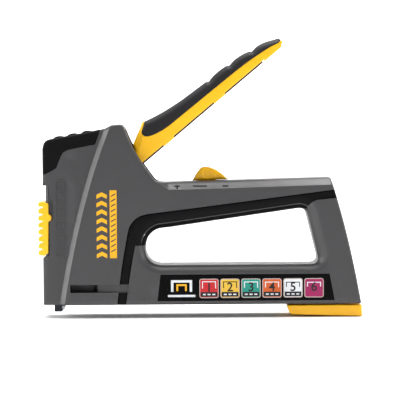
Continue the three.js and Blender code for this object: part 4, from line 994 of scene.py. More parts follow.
def bumper_moulding():
    """The bumper over the head's front corner, with its three ribs."""
    outline = pad_outline()
    radius = 1.9
    lines = [(BODY, True), (outline, True)] + rounding_lines(BODY, radius) + rounding_lines(outline, 0.5)

    def half(points):
        return (NOSE_SIDE + 0.2 - rounded_edge(nearest(points, BODY)[0], radius)
                - rounded_edge(nearest(points, outline)[0], 0.5))
    pad = solid("bumper", lines, lambda p: inside(p, BODY) & inside(p, outline), lambda p: -half(p), half)
    inner = NOSE_SIDE - PAD_SKIN
    pad = shaped(pad, [slab(moved(BODY, PAD_WALL), -inner, inner)])
    ribs = []
    for number in range(3):
        x = FRONT + 10.2 + number * 8.7
        rib = soft_slab(circle(x, roof_at(x) - 3.9, 4.8, 56), 2 - NOSE_SIDE, NOSE_SIDE - 2, 1.2)
        ribs.append(shaped(rib, [slab(moved(BODY, 1.0), -SIDE, SIDE)]))
    return shaped(pad, ribs, "UNION")


def selector_moulding():
    """The toothed selector, its nub and the stem that holds the clip."""
    low, high = SELECTOR_LOW, SELECTOR_LOW + SELECTOR_HEIGHT
    pen = Pen(FRONT + 0.6, low).line(FRONT + 3.4, low + 2.4).line(FRONT + 3.6, low + 21.4)
    pen.line(FRONT + 5.4, low + 22.6).line(FRONT + 5.4, low + 25).line(FRONT + 3.6, low + 26.2)
    pen.line(FRONT + 3.6, high - 1.4).line(FRONT + 0.2, high)
    teeth = []
    tip, pitch = FRONT - 2.8, 4.3
    for number in range(7, -1, -1):
        z = low + 2.1 + number * pitch
        teeth += [(FRONT + 0.2, z + 1.6), (tip, z + 1.4), (tip, z - 1.4), (FRONT + 0.2, z - 1.6)]
    outline = filleted(pen.points + teeth, 0.9, 4)
    slider = soft_slab(outline, -NOSE_SIDE, NOSE_SIDE, 0.7)
    back = FRONT + 1.5
    # Its teeth span the nose, but only its sides reach back round the plate.
    slider = shaped(slider, [box(back, FRONT + 9, -12.9, 12.9, 0, TOP)])
    end = corners("selector_clip")[1].x + 0.1
    return shaped(slider, [box(back - 0.5, end, -3, 3, low + 12, low + 17)], "UNION")


def lock_moulding():
    """The lock: a humped fin with a shallow dish on each side, its stem and its foot."""
    z, high = HANDLE, corners("lever_lock")[1]
    pen = Pen(LOCK_X, z + 0.8, 20)
    pen.curve(LOCK_X + 2.6, z + 6.0, LOCK_X + 5.2, z + 8.6)
    pen.curve(LOCK_X + 8.8, z + 10.3, LOCK_X + 14, z + 7.7)
    pen.curve(LOCK_X + 18.4, z + 5.2, LOCK_X + 22, z + 1.4)
    fin = soft_slab(thinned(pen.points), -5, 5, 1.5, crown=0.3)
    dish = [soft_slab(circle(LOCK_X + 9.6, z + 4.9, 3.4, 40), y - 1.2, y + 1.2, 1.15) for y in (-5.6, 5.6)]
    fin = shaped(fin, dish)
    foot = corners("lever_lock")[0].z
    rest = [box(LOCK_X + 3, LOCK_X + 14.6, -3.3, 3.3, foot + 1, z + 2),
            box(LOCK_X, LOCK_X + 18, -high.y, high.y, foot, foot + 2)]
    fin = shaped(fin, rest, "UNION")
    low, top = corners("lock_bar")
    return shaped(fin, [box(LOCK_X - 2, LOCK_X + 9.6, -1.8, 1.8, z + 1.6, z + 20),
                        bar((low.x + top.x) / 2, (low.z + top.z) / 2, 1.35, low.y - FIT, top.y + FIT, 24)])


def foot_moulding():
    """The magazine's foot with the block that holds the rail, the rod and the pin."""
    low, high = corners("magazine_foot")
    top = 7.2
    outline = filleted([(low.x, top), (low.x + 0.9, 4.1), (low.x + 1.8, 2.1), (low.x + 3.6, 1.3),
                        (high.x, low.z), (high.x - 0.2, top)], 0.8)
    foot = soft_slab(outline, low.y, high.y, 0.9)
    end = REAR - 10
    half = CHANNEL_HALF - 1.5
    block = [(end, top - 0.5), (REAR - 0.7, top - 0.5), (REAR - 3.4, high.z), (end, high.z)]
    foot = shaped(foot, [slab(block, -half, half)], "UNION")
    rail_low, rail_high = corners("magazine_rail")
    rod_low, rod_high = corners("spring_rod")
    pin_low, pin_high = corners("foot_pin")
    gap = rail_high.y + FIT
    return shaped(foot, [
        box(end - 1, rail_high.x + FIT, -gap, gap, rail_low.z - FIT, rail_high.z + FIT),
        long_bar(0, (rod_low.z + rod_high.z) / 2, 1.25, end - 1, end + 6),
        bar((pin_low.x + pin_high.x) / 2, (pin_low.z + pin_high.z) / 2, 1.15, -20, 20, 24)])


# ---- lever, drawn level with its pivot at the origin -----------------------------------------------------
LEVER_FRONT, LEVER_UNDER, LEVER_BACK = 9.0, -3.8, 9.0
WAVE_START, WAVES = LEVER_LENGTH - 52.5, 3
LEVER_ROOF, LEVER_END = 3.9, LEVER_LENGTH - 17.5


def lever_crest(u):
    """Height of the lever's back, which falls towards the tip."""
    along = max(0.0, (u - WAVE_START) / (LEVER_LENGTH - 4 - WAVE_START))
    return LEVER_BACK - 7 * along ** 2.3


def lever_outline(drop=0.0, notched=True):
    """The lever's side, with finger waves on its back, or its core under a soft back this thick."""
    pen = Pen(LEVER_FRONT, LEVER_UNDER, 16).line(LEVER_LENGTH - 1.9, LEVER_UNDER)
    pen.curve(LEVER_LENGTH - 0.1, LEVER_UNDER + 0.1, LEVER_LENGTH, LEVER_UNDER + 2)
    pen.line(LEVER_LENGTH - 0.6 - drop, lever_crest(LEVER_LENGTH) - drop * 0.5)
    pitch = (LEVER_LENGTH - 4 - WAVE_START) / WAVES
    for i in range(WAVES, 0, -1):
        high = WAVE_START + pitch * i
        low = WAVE_START + pitch * (i - 1) + (1.9 if notched else 0)
        start = lever_crest(low) - (1.0 if notched else 0) - drop
        if notched:
            pen.line(high, lever_crest(high) - drop)
        pen.curve(low + pitch * 0.36, lever_crest(low) + 0.7 - drop, low, start)
    front, back = LEVER_FRONT + drop, LEVER_BACK - drop
    pen.line(WAVE_START, back).line(WAVE_START - 18, back + 1.1)
    pen.curve(LEVER_FRONT + 36, back + 2.6, front + 25, back + 5.8)
    pen.line(front + 23.7, back + 6.6).line(front + 10, back - 0.5)
    pen.line(LEVER_FRONT + 8, 4.4).line(LEVER_FRONT, 4)
    return filleted(thinned(pen.points), 0.9, least_turn=0.35)


def lever_grip_outline(grow=0.0):
    """The part of the lever's side that its soft back covers."""
    front, edge = LEVER_FRONT, LEVER_BACK - grow
    pen = Pen(front + 24.6 - grow, LEVER_BACK + 10, 16).line(front + 24.6 - grow, LEVER_BACK + 5.6)
    pen.line(front + 19.2 - grow, LEVER_BACK + 2)
    pen.curve(front + 17.4 - grow, edge - 1.4, front + 22, edge - 3.4)
    pen.curve(front + 28, edge - 5.8, front + 37, edge - 6)
    pen.line(LEVER_LENGTH - 38, edge - 6.8)
    pen.curve(LEVER_LENGTH - 14, edge - 7.4, LEVER_LENGTH - 2.4 + grow, -1.7 - grow)
    pen.line(LEVER_LENGTH + 4, -0.6 - grow).line(LEVER_LENGTH + 4, LEVER_BACK + 10)
    return thinned(pen.points)


def lever_half(points, radius, outline):
    """Half the lever's width: its back is rounded over, its lower edge only broken."""
    gap = nearest(points, outline)[0]
    wide = np.where(points[:, 1] > LEVER_UNDER + 2.2, radius, 0.7)
    return LEVER_HALF - rounded_edge(gap, wide)


def lever_lines(outline, radius):
    """The lines that the lever's broken and rounded edges need."""
    lines = [(outline, True)] + rounding_lines(outline, 0.7, 3)
    lines += [(moved(outline, radius * f), True) for f in (0.02, 0.08, 0.18, 0.32, 0.5, 0.72, 1.0)]
    return lines


def lever_moulding():
    """The lever's yellow shell, hollow below, with three tabs along its lower edge."""
    outline = lever_outline()
    radius = 3.4
    shell = solid("lever", lever_lines(outline, radius), lambda p: inside(p, outline),
                  lambda p: -lever_half(p, radius, outline), lambda p: lever_half(p, radius, outline))
    inner = LEVER_HALF - LEVER_SKIN - FIT
    bed = shaped(slab(lever_grip_outline(FIT), -15, 15),
                 [slab(lever_outline(LEVER_PAD + FIT, False), -inner, inner)])
    start, end, under = LEVER_FRONT - 1, LEVER_END + FIT, LEVER_UNDER - 4
    hollow = [(start, under), (end, under), (end, LEVER_ROOF - 2.9), (LEVER_LENGTH * 0.57, LEVER_ROOF),
              (start, LEVER_ROOF)]
    room = LEVER_HALF - LEVER_WALL
    shell = shaped(shell, [bed, slab(hollow, -room, room)])
    tabs = []
    for start, end in ((LEVER_FRONT + 24, LEVER_FRONT + 32.6), (LEVER_LENGTH - 56.9, LEVER_LENGTH - 47.8),
                       (LEVER_LENGTH - 15.7, LEVER_LENGTH - 2.1)):
        tab = soft_slab(filleted(rectangle(start, end, LEVER_UNDER - 1.1, LEVER_UNDER + 1.4), 0.5),
                        -LEVER_HALF, LEVER_HALF, 0.6)
        tabs.append(shaped(tab, [box(0, LEVER_END + FIT, -room, room, LEVER_UNDER - 3, LEVER_UNDER + 3)]))
    return shaped(shell, tabs, "UNION")


def lever_grip_moulding():
    """The lever's soft back."""
    outline, edge = lever_outline(), lever_grip_outline()
    radius = 4.6

    def half(points):
        return lever_half(points, radius, outline) + 0.25 - rounded_edge(nearest(points, edge)[0], 0.6)
    lines = lever_lines(outline, radius) + [(edge, True)] + rounding_lines(edge, 0.6, 3)
    grip = solid("lever_grip", lines, lambda p: inside(p, outline) & inside(p, edge),
                 lambda p: -half(p), half)
    inner = LEVER_HALF - LEVER_SKIN
    return shaped(grip, [slab(lever_outline(LEVER_PAD, False), -inner, inner)])


def swung(piece):
    """Turns a piece drawn level about the pivot to the lever's rest position."""
    piece.data.transform(Matrix.Translation((PIVOT.x * MM, 0, PIVOT.y * MM))
                         @ Matrix.Rotation(-LEVER_ANGLE, 4, "Y"))
    return piece


# ---- geometry nodes --------------------------------------------------------------------------------------
def node_tree(name, inputs):
    """A geometry tree with named inputs, its group input node and a function that ends it."""
    tree = bpy.data.node_groups.new(name, "GeometryNodeTree")
    tree.interface.new_socket("Geometry", in_out="INPUT", socket_type="NodeSocketGeometry")
    tree.interface.new_socket("Geometry", in_out="OUTPUT", socket_type="NodeSocketGeometry")
    for title, kind in inputs.items():
        tree.interface.new_socket(title, in_out="INPUT", socket_type="NodeSocket" + kind)
    tree.interface.new_socket("Finish", in_out="INPUT", socket_type="NodeSocketMaterial")
    start = add_node(tree, "NodeGroupInput")

    def end(geometry):
        real = add_node(tree, "GeometryNodeRealizeInstances", {"Geometry": geometry})
        dressed = add_node(tree, "GeometryNodeSetMaterial", {"Geometry": real.outputs[0],
                                                             "Material": start.outputs["Finish"]})
        add_node(tree, "NodeGroupOutput", {"Geometry": dressed.outputs[0]})
        return tree
    return tree, start.outputs, end


def grown(piece, tree, values):
    """Runs a geometry tree on the piece with these input values, and keeps the mesh."""
    modifier = piece.modifiers.new("nodes", "NODES")
    modifier.node_group = tree
    for item in tree.interface.items_tree:
        if item.in_out == "INPUT" and item.name in values:
            modifier[item.identifier] = values[item.name]
    return bake(piece)


def seed_mesh(name, points, edges=()):
    """The points, and edges if any, that a geometry tree works on."""
    mesh = bpy.data.meshes.new(name)
    mesh.from_pydata([tuple(c * MM for c in p) for p in points], list(edges), [])
    return new_object(name, mesh)


def coil_tree():
    """A coil spring standing on Z = 0."""
    tree, given, end = node_tree("coil_spring", {
        "Radius": "Float", "Wire": "Float", "Height": "Float", "Turns": "Float"})
    spiral = add_node(tree, "GeometryNodeCurveSpiral", {
        "Resolution": 28, "Rotations": given["Turns"], "Start Radius": given["Radius"],
        "End Radius": given["Radius"], "Height": given["Height"]})
    section = add_node(tree, "GeometryNodeCurvePrimitiveCircle", {
        "Resolution": 10, "Radius": given["Wire"]})
    wire = add_node(tree, "GeometryNodeCurveToMesh", {
        "Curve": spiral.outputs[0], "Profile Curve": section.outputs[0], "Fill Caps": True})
    return end(wire.outputs[0])


def screw_tree():
    """Domed screws with a hexagon recess and a shank, one at each point, facing +Y."""
    tree, given, end = node_tree("domed_screws", {"Head": "Float", "Recess": "Float", "Shank": "Float"})
    disc = add_node(tree, "GeometryNodeMeshCylinder", {
        "Vertices": 48, "Radius": given["Head"], "Depth": 2.0 * MM})
    ball = add_node(tree, "GeometryNodeMeshUVSphere", {"Segments": 64, "Rings": 48, "Radius": 4.4 * MM})
    lowered = add_node(tree, "GeometryNodeTransform", {
        "Geometry": ball.outputs[0], "Translation": (0, 0, -3.4 * MM)})
    head = add_node(tree, "GeometryNodeMeshBoolean", {"Mesh 2": disc.outputs[0]}, operation="INTERSECT")
    tree.links.new(lowered.outputs[0], head.inputs["Mesh 2"])
    socket = add_node(tree, "GeometryNodeMeshCylinder", {
        "Vertices": 6, "Radius": given["Recess"], "Depth": 3.0 * MM})
    raised = add_node(tree, "GeometryNodeTransform", {
        "Geometry": socket.outputs[0], "Translation": (0, 0, 1.3 * MM)})
    sunk = add_node(tree, "GeometryNodeMeshBoolean", {
        "Mesh 1": head.outputs[0], "Mesh 2": raised.outputs[0]}, operation="DIFFERENCE")
    shank = add_node(tree, "GeometryNodeMeshCylinder", {
        "Vertices": 24, "Radius": 1.5 * MM, "Depth": given["Shank"]})
    down = add_node(tree, "ShaderNodeMath", {0: given["Shank"], 1: -0.5}, operation="MULTIPLY")
    offset = add_node(tree, "ShaderNodeCombineXYZ", {"Z": down.outputs[0]})
    hung = add_node(tree, "GeometryNodeTransform", {
        "Geometry": shank.outputs[0], "Translation": offset.outputs[0]})
    whole = add_node(tree, "GeometryNodeMeshBoolean", {"Mesh 2": sunk.outputs[0]}, operation="UNION")
    tree.links.new(hung.outputs[0], whole.inputs["Mesh 2"])
    turned = add_node(tree, "GeometryNodeTransform", {
        "Geometry": whole.outputs[0], "Rotation": (-math.pi / 2, 0, 0)})
    placed = add_node(tree, "GeometryNodeInstanceOnPoints", {
        "Points": given["Geometry"], "Instance": turned.outputs[0]})
    return end(placed.outputs[0])


def staple_tree():
    """A row of wire staples along X from one staple's bent line."""
    tree, given, end = node_tree("staple_row", {"Count": "Int", "Pitch": "Float", "Wire": "Float"})
    line = add_node(tree, "GeometryNodeMeshToCurve", {"Mesh": given["Geometry"]})
    bent = add_node(tree, "GeometryNodeFilletCurve", {"Curve": line.outputs[0], "Radius": 0.5 * MM})
    # The fillet's count is a socket whose place differs with its mode, so it is found by name.
    for item in bent.inputs:
        if item.name == "Count":
            item.default_value = 4
    section = add_node(tree, "GeometryNodeCurvePrimitiveQuadrilateral", {
        "Width": given["Wire"], "Height": given["Wire"]})
    staple = add_node(tree, "GeometryNodeCurveToMesh", {
        "Curve": bent.outputs[0], "Profile Curve": section.outputs[0], "Fill Caps": True})
    step = add_node(tree, "ShaderNodeCombineXYZ", {"X": given["Pitch"]})
    row = add_node(tree, "GeometryNodeMeshLine", {"Count": given["Count"], "Offset": step.outputs[0]})
    placed = add_node(tree, "GeometryNodeInstanceOnPoints", {
        "Points": row.outputs[0], "Instance": staple.outputs[0]})
    return end(placed.outputs[0])


def coil(name, radius, wire, height, turns, finish):
    """A spring standing on Z = 0, measured over the wire."""
    piece = seed_mesh(name, [(0, 0, 0)])
    return grown(piece, coil_tree(), {
        "Radius": (radius - wire / 2) * MM, "Wire": wire / 2 * MM, "Height": (height - wire) * MM,
        "Turns": float(turns), "Finish": finish})


# ---- prints ----------------------------------------------------------------------------------------------
def ink(loop, depth, finish, sign, holes=()):
    """A printed shape on one side of the tool, which stands this far off it and is rooted below its face."""
    root = 0.3
    y0, y1 = sorted((sign * (SIDE - root), sign * (SIDE + depth)))

    def region(points):
        found = inside(points, loop)
        for hole in holes:
            found &= ~inside(points, hole)
        return found
    made = solid("ink", [(loop, True)] + [(h, True) for h in holes], region, y0, y1)
    made.data.materials.append(finish)
    return made


def figure(text, x, z, high, sign, finish):
    """A figure as flat printed mesh, readable from its own side."""
    thick = 0.1
    curve = bpy.data.curves.new("figure", "FONT")
    curve.body = text
    curve.size = high * 1.38 * MM
    curve.offset = 0.12 * MM
    curve.align_x = "CENTER"
    curve.align_y = "CENTER"
    curve.extrude = thick * MM
    text_object = new_object("figure", curve)
    graph = bpy.context.evaluated_depsgraph_get()
    mesh = bpy.data.meshes.new_from_object(text_object.evaluated_get(graph), depsgraph=graph)
    bpy.data.objects.remove(text_object)
    bpy.data.curves.remove(curve)
    turn = Matrix.Rotation(math.pi / 2, 4, "X")
    if sign > 0:
        turn = Matrix.Rotation(math.pi, 4, "Z") @ turn
    place = Matrix.Translation((x * MM, sign * (SIDE - thick) * MM, z * MM))
    mesh.transform(place @ turn)
    mesh.materials.clear()
    mesh.materials.append(finish)
    return new_object("figure", mesh)


TILES = ("red", "gold", "teal", "orange", "white", "magenta")


def label_print(sign):
    """Six coloured tiles with a staple mark and a number, and a large staple mark at the label's end."""
    parts = []
    # How far each layer of ink stands off the side, with the later layers over the earlier ones.
    tile_ink, border_ink, mark_ink, top_ink = -0.06, -0.04, -0.03, 0.0
    middle = OPENING_FLOOR - 14.4
    wide, pitch = 11.3, 12.93
    first, low = OPENING_FRONT + 39.3, middle - wide / 2
    for number, name in enumerate(TILES):
        x = first + number * pitch
        outer, inner = frame_lines(x, middle, wide + 0.6, wide + 0.6, 0.5, 1.6)
        parts.append(ink(outer, border_ink, FINISH["border"], sign, [inner]))
        parts.append(ink(inner, tile_ink, FINISH[name], sign))
        if name != "magenta":
            strip = rectangle(x - wide / 2 + 0.5, x + wide / 2 - 0.5, low + 0.5, low + 3.4)
            parts.append(ink(strip, mark_ink, FINISH["dark"], sign))
            for k in (-1, 0, 1):
                dash = rectangle(x + k * 2.9 - 0.9, x + k * 2.9 + 0.9, low + 1.5, low + 2.3)
                parts.append(ink(dash, top_ink, FINISH["white"], sign))
        tone = FINISH["dark"] if name in ("white", "gold") else FINISH["white"]
        mark = staple_mark(x, middle + 2.2, 8.6, 4.4 - 0.3 * number, 0.55)
        parts.append(ink(mark, mark_ink, tone, sign))
        parts.append(figure(str(number + 1), x, middle + 0.5, 5.6, sign, FINISH["dark"]))
    big = OPENING_FRONT + 22.4
    for shape, name in ((staple_mark(big, middle + 1.6, 13.0, 7.2, 1.5), "white"),
                        (staple_mark(big, middle + 0.6, 6.4, 4.2, 1.1), "ink_yellow"),
                        (rectangle(big - 8.4, big + 8.4, middle - 5.2, middle - 3.9), "white")):
        parts.append(ink(shape, mark_ink, FINISH[name], sign))
    return parts


def side_print(sign):
    """A column of yellow chevrons, and beside it a yellow bar with slanting gaps."""
    parts = []
    thick, chevrons, gap_count = 0.03, 8, 12
    left, wide = FRONT + 33.4, 6.4
    low, high = OPENING_FLOOR + 4.6, HANDLE - 4.6
    pitch = (high - low) / chevrons
    for number in range(chevrons):
        z = low + pitch * number
        chevron = [(left, z), (left + wide / 2, z + 1.6), (left + wide, z), (left + wide, z + 2.5),
                   (left + wide / 2, z + 4.1), (left, z + 2.5)]
        parts.append(ink(chevron, thick, FINISH["ink_yellow"], sign))
    start, end = FRONT + 41.5, FRONT + 45.8
    gaps = []
    for number in range(gap_count):
        z = low + 3.4 + number * 3.1
        gaps.append([(start + 0.7, z), (end - 0.7, z + 1.7), (end - 0.7, z + 2.6), (start + 0.7, z + 0.9)])
    parts.append(ink(rectangle(start, end, low, high), thick, FINISH["ink_yellow"], sign, gaps))
    return parts


# ---- studio ----------------------------------------------------------------------------------------------
# Metres and watts, but the camera's sensor is in millimetres.
PAPER_GAP = 0.0002
CAMERA_DISTANCE, SENSOR = 1.40, 36
CAMERA_TARGET = Vector((0.0001, -SIDE * MM, 0.0725))
CAMERA_ELEVATION, CAMERA_ROLL = math.radians(2.0), math.radians(-0.38)
VIEW_WIDTH = 0.2459
WORLD_STRENGTH = 0.34
# Name, place, target, size and watts: the main light from above, a fill from each end, and one on the wall.
LIGHTS = (
    ("left", (-1.5, -0.15, 0.45), (0, 0, 0.08), (0.9, 0.9), 23),
    ("top", (0.0, 0.05, 1.6), (0, 0, 0.05), (1.4, 0.8), 42),
    ("right", (1.5, -0.3, 0.5), (0, 0, 0.08), (0.6, 0.8), 9),
    ("wall", (0, 1.9, 1.6), (0, 3.0, 0.1), (2.4, 0.5), 60),
)


def backdrop_material():
    """Seamless paper, matt: an even near-white with the faintest tooth."""
    material, tree, shader, place = new_material("seamless_paper")
    tooth = noise(tree, place, PAPER_TOOTH_MM, 3.0)
    tone = toned(tree, tooth.outputs["Fac"], linear("#f2f2f2"), linear("#f7f7f7"))
    tree.links.new(tone, shader.inputs["Base Color"])
    shader.inputs["Roughness"].default_value = 0.9
    shader.inputs["Specular IOR Level"].default_value = 0.1
    return material


def paper_sweep():
    """A floor that curves up into a wall behind and far to each side."""
    made = bmesh.new()
    rings = []
    wide, radius, bend = 4.0, 1.2, 2.0
    profile = [(-3.0, 0.0), (bend, 0.0)]
    turns = np.linspace(0.1, math.pi / 2, 16)
    profile += [(bend + radius * math.sin(turn), radius * (1 - math.cos(turn))) for turn in turns]
    profile.append((bend + radius, 4.0))
    for x in np.linspace(-wide, wide, 9):
        rings.append([made.verts.new((x, y, z - PAPER_GAP)) for y, z in profile])
    for a, b in zip(rings, rings[1:]):
        for i in range(len(profile) - 1):
            made.faces.new((a[i], b[i], b[i + 1], a[i + 1]))
    mesh = bpy.data.meshes.new("paper_sweep")
    made.to_mesh(mesh)
    made.free()
    mesh.shade_smooth()
    mesh.materials.append(backdrop_material())
    piece = new_object("paper_sweep", mesh)


def soft_light(name, place, target, size, power):
    """A rectangular soft light that faces its target."""
    data = bpy.data.lights.new(name, "AREA")
    data.shape = "RECTANGLE"
    data.size, data.size_y = size
    data.energy = power
    made = new_object(name, data)
    made.location = place
    made.rotation_euler = (Vector(target) - Vector(place)).to_track_quat("-Z", "Y").to_euler()


def camera_place():
    """Where the camera stands: square to the side of the tool, a little above, with a long lens."""
    direction = Vector((0, -math.cos(CAMERA_ELEVATION), math.sin(CAMERA_ELEVATION)))
    turn = (-direction).to_track_quat("-Z", "Y").to_matrix().to_4x4() @ Matrix.Rotation(CAMERA_ROLL, 4, "Z")
    return Matrix.Translation(CAMERA_TARGET + direction * CAMERA_DISTANCE) @ turn


# ---- operators -------------------------------------------------------------------------------------------
# Broken edges in metres, of the rubber stop, thin leaves and clips, the foot's leaf, and spring wire.
STOP_EDGE, LEAF_EDGE, FOOT_LEAF_EDGE, WIRE_EDGE = 0.6 * MM, 0.05 * MM, 0.1 * MM, 0.02 * MM


class PieceOperator:
    """What the operators that build pieces share"""
    bl_options = {"REGISTER", "UNDO"}

    def execute(self, context):
        self.build(context.scene.staple_gun_sizes)
        return {"FINISHED"}


class MaterialsOperator(bpy.types.Operator):
    """Makes the finishes of every piece"""
    bl_idname = "staplegun.materials"
    bl_label = "Finishes"

    def execute(self, context):
        make_materials(context.scene.staple_gun_colours)
        return {"FINISHED"}


class HousingsOperator(PieceOperator, bpy.types.Operator):
    """Builds the two grey housing halves"""
    bl_idname = "staplegun.housings"
    bl_label = "Housings"

    def build(self, sizes):
        right = whole_housing(sizes)
        left = copied(right)
        shaped(left, [box(-FAR, FAR, 0, FAR, -FAR, FAR)])
        shaped(right, [box(-FAR, FAR, -FAR, 0, -FAR, FAR)])
        shaped(left, raised_marks(-1), "UNION")
        shaped(right, raised_marks(1), "UNION")
        finished(left, "left_shell", FINISH["nylon"], "root", ["left_housing"])
        finished(right, "right_shell", FINISH["nylon"], "root", ["right_housing"])


class SoftOperator(PieceOperator, bpy.types.Operator):
    """Builds the soft grip round the hand opening and the bumper on the head"""
    bl_idname = "staplegun.soft"
    bl_label = "Soft mouldings"

    def build(self, sizes):
        grip = grip_moulding(sizes)
        finished(grip, "grip_moulding", FINISH["rubber"], "root", ["hand_grip"])
        bumper = bumper_moulding()
        finished(bumper, "bumper_moulding", FINISH["rubber"], "root", ["head_bumper"])
        softened("striker_buffer", "striker_stop", FINISH["rubber"], "root", STOP_EDGE)


class PrintsOperator(PieceOperator, bpy.types.Operator):
    """Lays the label films and the inks on both sides"""
    bl_idname = "staplegun.prints"
    bl_label = "Labels and prints"

    def build(self, sizes):
        bottom, top, edge = 0.6, 0.1, 0.12
        for side_name, sign in (("left", -1), ("right", 1)):
            y0, y1 = sorted((sign * (SIDE - bottom), sign * (SIDE - top)))
            film = soft_slab(label_outline(), y0, y1, edge, levels=3)
            node = "label_" + side_name
            finished(film, side_name + "_film", FINISH["film"], "root", [node])
            tiles = joined("tiles", label_print(sign))
            finished(tiles, side_name + "_label_inks", None, "root")
            marks = joined("marks", side_print(sign))
            finished(marks, side_name + "_side_inks", None, "root")


class LeverOperator(PieceOperator, bpy.types.Operator):
    """Builds the lever's yellow shell, its soft back and the steel inside it"""
    bl_idname = "staplegun.lever"
    bl_label = "Lever"

    def build(self, sizes):
        shell = swung(lever_moulding())
        finished(shell, "lever_moulding", FINISH["abs"], "lever", ["lever_shell"])
        grip = swung(lever_grip_moulding())
        # The soft back wears the rubber copy painted paler for the light on the lever's back.
        finished(grip, "lever_soft_back", FINISH["lever_rubber"], "lever", ["lever_grip"])
        edge = sizes.steel_edge
        softened("lever_core", "lever_channel", FINISH["black_steel"], "lever", edge)
        softened("lift_arm", "lift_plate", FINISH["ground"], "lever", edge)
        softened("arm_rivet", "lift_plate_rivet", FINISH["zinc"], "lever", edge)
        softened("catch_claw", "lock_catch", FINISH["zinc"], "lever", edge)
        softened("lever_return_spring", "return_spring", FINISH["wire"], "lever",
                 WIRE_EDGE, 1)


class StrikerOperator(PieceOperator, bpy.types.Operator):
    """Builds the striker, its blade, yoke and drive spring"""
    bl_idname = "staplegun.striker"
    bl_label = "Striker"

    def build(self, sizes):
        edge = sizes.steel_edge
        softened("striker_block", "striker_body", FINISH["black_steel"], "striker", 2 * edge)
        softened("driver_blade", "blade", FINISH["ground"], "striker", edge)
        softened("blade_rivet", "blade_pin", FINISH["zinc"], "striker", edge)
        softened("lift_yoke", "yoke", FINISH["black_steel"], "striker", edge)
        softened("yoke_pin", "yoke_cross_pin", FINISH["zinc"], "striker", edge)
        low, high = corners("drive_spring")
        length, wire = high.z - low.z, 2.0
        spring = coil("spring", (high.y - low.y) / 2, wire, length, sizes.spring_turns, FINISH["wire"])
        foot = Matrix.Translation(((low.x + high.x) / 2 * MM, 0, (low.z + wire / 2) * MM))
        spring.data.transform(foot)
        finished(spring, "main_spring", None, "root", ["drive_spring"])
        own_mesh(spring)


class SelectorOperator(PieceOperator, bpy.types.Operator):
    """Builds the toothed selector and its clip"""
    bl_idname = "staplegun.selector"
    bl_label = "Selector"

    def build(self, sizes):
        slider = selector_moulding()
        finished(slider, "selector_moulding", FINISH["abs"], "selector",
                 ["selector_slider"])
        softened("selector_clip", "selector_spring_clip", FINISH["wire"], "selector",
                 LEAF_EDGE)


class LockOperator(PieceOperator, bpy.types.Operator):
    """Builds the lever lock and its bar"""
    bl_idname = "staplegun.lock"
    bl_label = "Lever lock"

    def build(self, sizes):
        slide = lock_moulding()
        finished(slide, "lock_slide_moulding", FINISH["abs"], "lock", ["lever_lock"])
        softened("lock_bar", "lock_cross_bar", FINISH["zinc"], "lock", sizes.steel_edge)


class MagazineOperator(PieceOperator, bpy.types.Operator):
    """Builds the magazine's foot, rail, rod, staples, pusher and spring"""
    bl_idname = "staplegun.magazine"
    bl_label = "Magazine"

    def build(self, sizes):
        edge = sizes.steel_edge
        foot = foot_moulding()
        finished(foot, "foot_moulding", FINISH["abs"], "magazine", ["magazine_foot"])
        softened("magazine_rail", "rail", FINISH["black_steel"], "magazine", edge)
        softened("foot_pin", "foot_cross_pin", FINISH["zinc"], "magazine", edge)
        softened("foot_clip", "foot_leaf", FINISH["black_steel"], "magazine", FOOT_LEAF_EDGE)
        softened("spring_rod", "pusher_rod", FINISH["ground"], "magazine", edge)
        softened("pusher", "pusher_block", FINISH["acetal"], "pusher", 2 * edge)
        self.staples(sizes)
        self.spring()

    def staples(self, sizes):
        """The staples that are left, packed side by side."""
        low, high = corners("staple_strip")
        pitch = (high.x - low.x) / sizes.staples
        wire, spare = 0.74, 0.02
        x, top, half = low.x + pitch / 2, high.z - wire / 2 - spare, high.y - wire / 2 - spare
        points = [(x, -half, low.z), (x, -half, top), (x, half, top), (x, half, low.z)]
        row = grown(seed_mesh("staples", points, [(0, 1), (1, 2), (2, 3)]), staple_tree(), {
            "Count": sizes.staples, "Pitch": pitch * MM, "Wire": wire * MM, "Finish": FINISH["zinc"]})
        finished(row, "staple_row", None, "magazine", ["staple_strip"])

    def spring(self):
        """The long spring on the rod, built at one length, though the real one shortens as the pusher slides
        back.
        """
        low, high = corners("pusher_spring")
        length, wire, turns = high.x - low.x, 0.8, 26
        spring = coil("spring", (high.z - low.z) / 2, wire, length, turns, FINISH["wire"])
        place = Matrix.Translation(((low.x + wire / 2) * MM, 0, (low.z + high.z) / 2 * MM))
        spring.data.transform(place @ Matrix.Rotation(math.pi / 2, 4, "Y"))
        finished(spring, "pusher_coil", None, "magazine", ["pusher_spring"])
        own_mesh(spring)


class SteelOperator(PieceOperator, bpy.types.Operator):
    """Builds the nose, front plate, channel, pins, springs' seats and housing screws"""
    bl_idname = "staplegun.steel"
    bl_label = "Steel in the housings"

    def build(self, sizes):
        edge = sizes.steel_edge
        softened("front_plate", "selector_plate", FINISH["phosphated"], "root", edge)
        softened("nose_tip", "nose", FINISH["black_steel"], "root", edge)
        softened("nose_pin", "nose_cross_pin", FINISH["zinc"], "root", edge)
        softened("magazine_channel", "channel", FINISH["black_steel"], "root", edge)
        softened("lever_pivot_pin", "pivot_pin", FINISH["zinc"], "root", 2 * edge)
        softened("spring_cap", "spring_seat", FINISH["black_steel"], "root", edge)
        softened("lock_leaf_spring", "lock_leaf", FINISH["wire"], "root", LEAF_EDGE)
        head, shank, sunk = 3.1, 26, 1.35
        places = [(x, face - sunk, z) for x, z, face in screw_places()]
        screws = grown(seed_mesh("screws", places), screw_tree(), {
            "Head": head * MM, "Recess": sizes.screw_recess, "Shank": shank * MM, "Finish": FINISH["zinc"]})
        names = [f"housing_screw_{number}" for number in range(1, 6)]
        finished(screws, "housing_screws", None, "root", names)


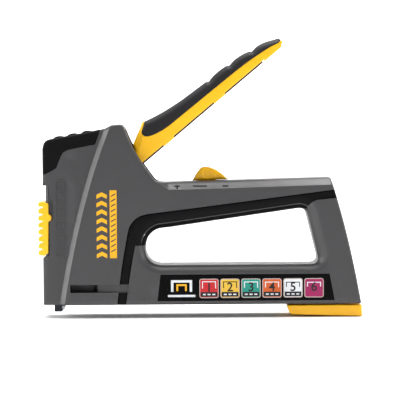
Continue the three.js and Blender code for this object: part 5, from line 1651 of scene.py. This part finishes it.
class StageOperator(bpy.types.Operator):
    """Sets the paper, the lights and the camera"""
    bl_idname = "staplegun.stage"
    bl_label = "Studio"

    def execute(self, context):
        paper_sweep()
        world = bpy.data.worlds.new("studio")
        world.use_nodes = True
        background = world.node_tree.nodes["Background"]
        background.inputs["Color"].default_value = (1, 1, 1, 1)
        background.inputs["Strength"].default_value = WORLD_STRENGTH
        context.scene.world = world
        for light in LIGHTS:
            soft_light(*light)
        data = bpy.data.cameras.new("camera")
        camera = new_object("camera", data)
        camera.matrix_world = camera_place()
        data.sensor_width = SENSOR
        data.lens = SENSOR * CAMERA_DISTANCE / VIEW_WIDTH
        data.clip_end = 20
        context.scene.camera = camera
        context.scene.view_settings.view_transform = "Standard"
        return {"FINISHED"}


OPERATORS = (MaterialsOperator, HousingsOperator, SoftOperator, PrintsOperator, LeverOperator,
             StrikerOperator, SelectorOperator, LockOperator, MagazineOperator, SteelOperator, StageOperator)


class StapleGunPanel(bpy.types.Panel):
    """Lists the operators that build the staple gun"""
    bl_idname = "VIEW3D_PT_staple_gun"
    bl_label = "Staple gun"
    bl_space_type = "VIEW_3D"
    bl_region_type = "UI"
    bl_category = "Staple gun"

    def draw(self, context):
        for group in (context.scene.staple_gun_sizes, context.scene.staple_gun_colours):
            for name in group.__annotations__:
                self.layout.prop(group, name)
        for operator in OPERATORS:
            self.layout.operator(operator.bl_idname)


CLASSES = (StapleGunSizes, StapleGunColours, *OPERATORS, StapleGunPanel)


def register():
    for item in CLASSES:
        bpy.utils.register_class(item)
    bpy.types.Scene.staple_gun_sizes = PointerProperty(type=StapleGunSizes)
    bpy.types.Scene.staple_gun_colours = PointerProperty(type=StapleGunColours)


def unregister():
    del bpy.types.Scene.staple_gun_colours
    del bpy.types.Scene.staple_gun_sizes
    for item in reversed(CLASSES):
        bpy.utils.unregister_class(item)


def main():
    """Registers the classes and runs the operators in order."""
    register()
    for operator in OPERATORS:
        group, name = operator.bl_idname.split(".")
        getattr(getattr(bpy.ops, group), name)()


if __name__ == "__main__":
    main()
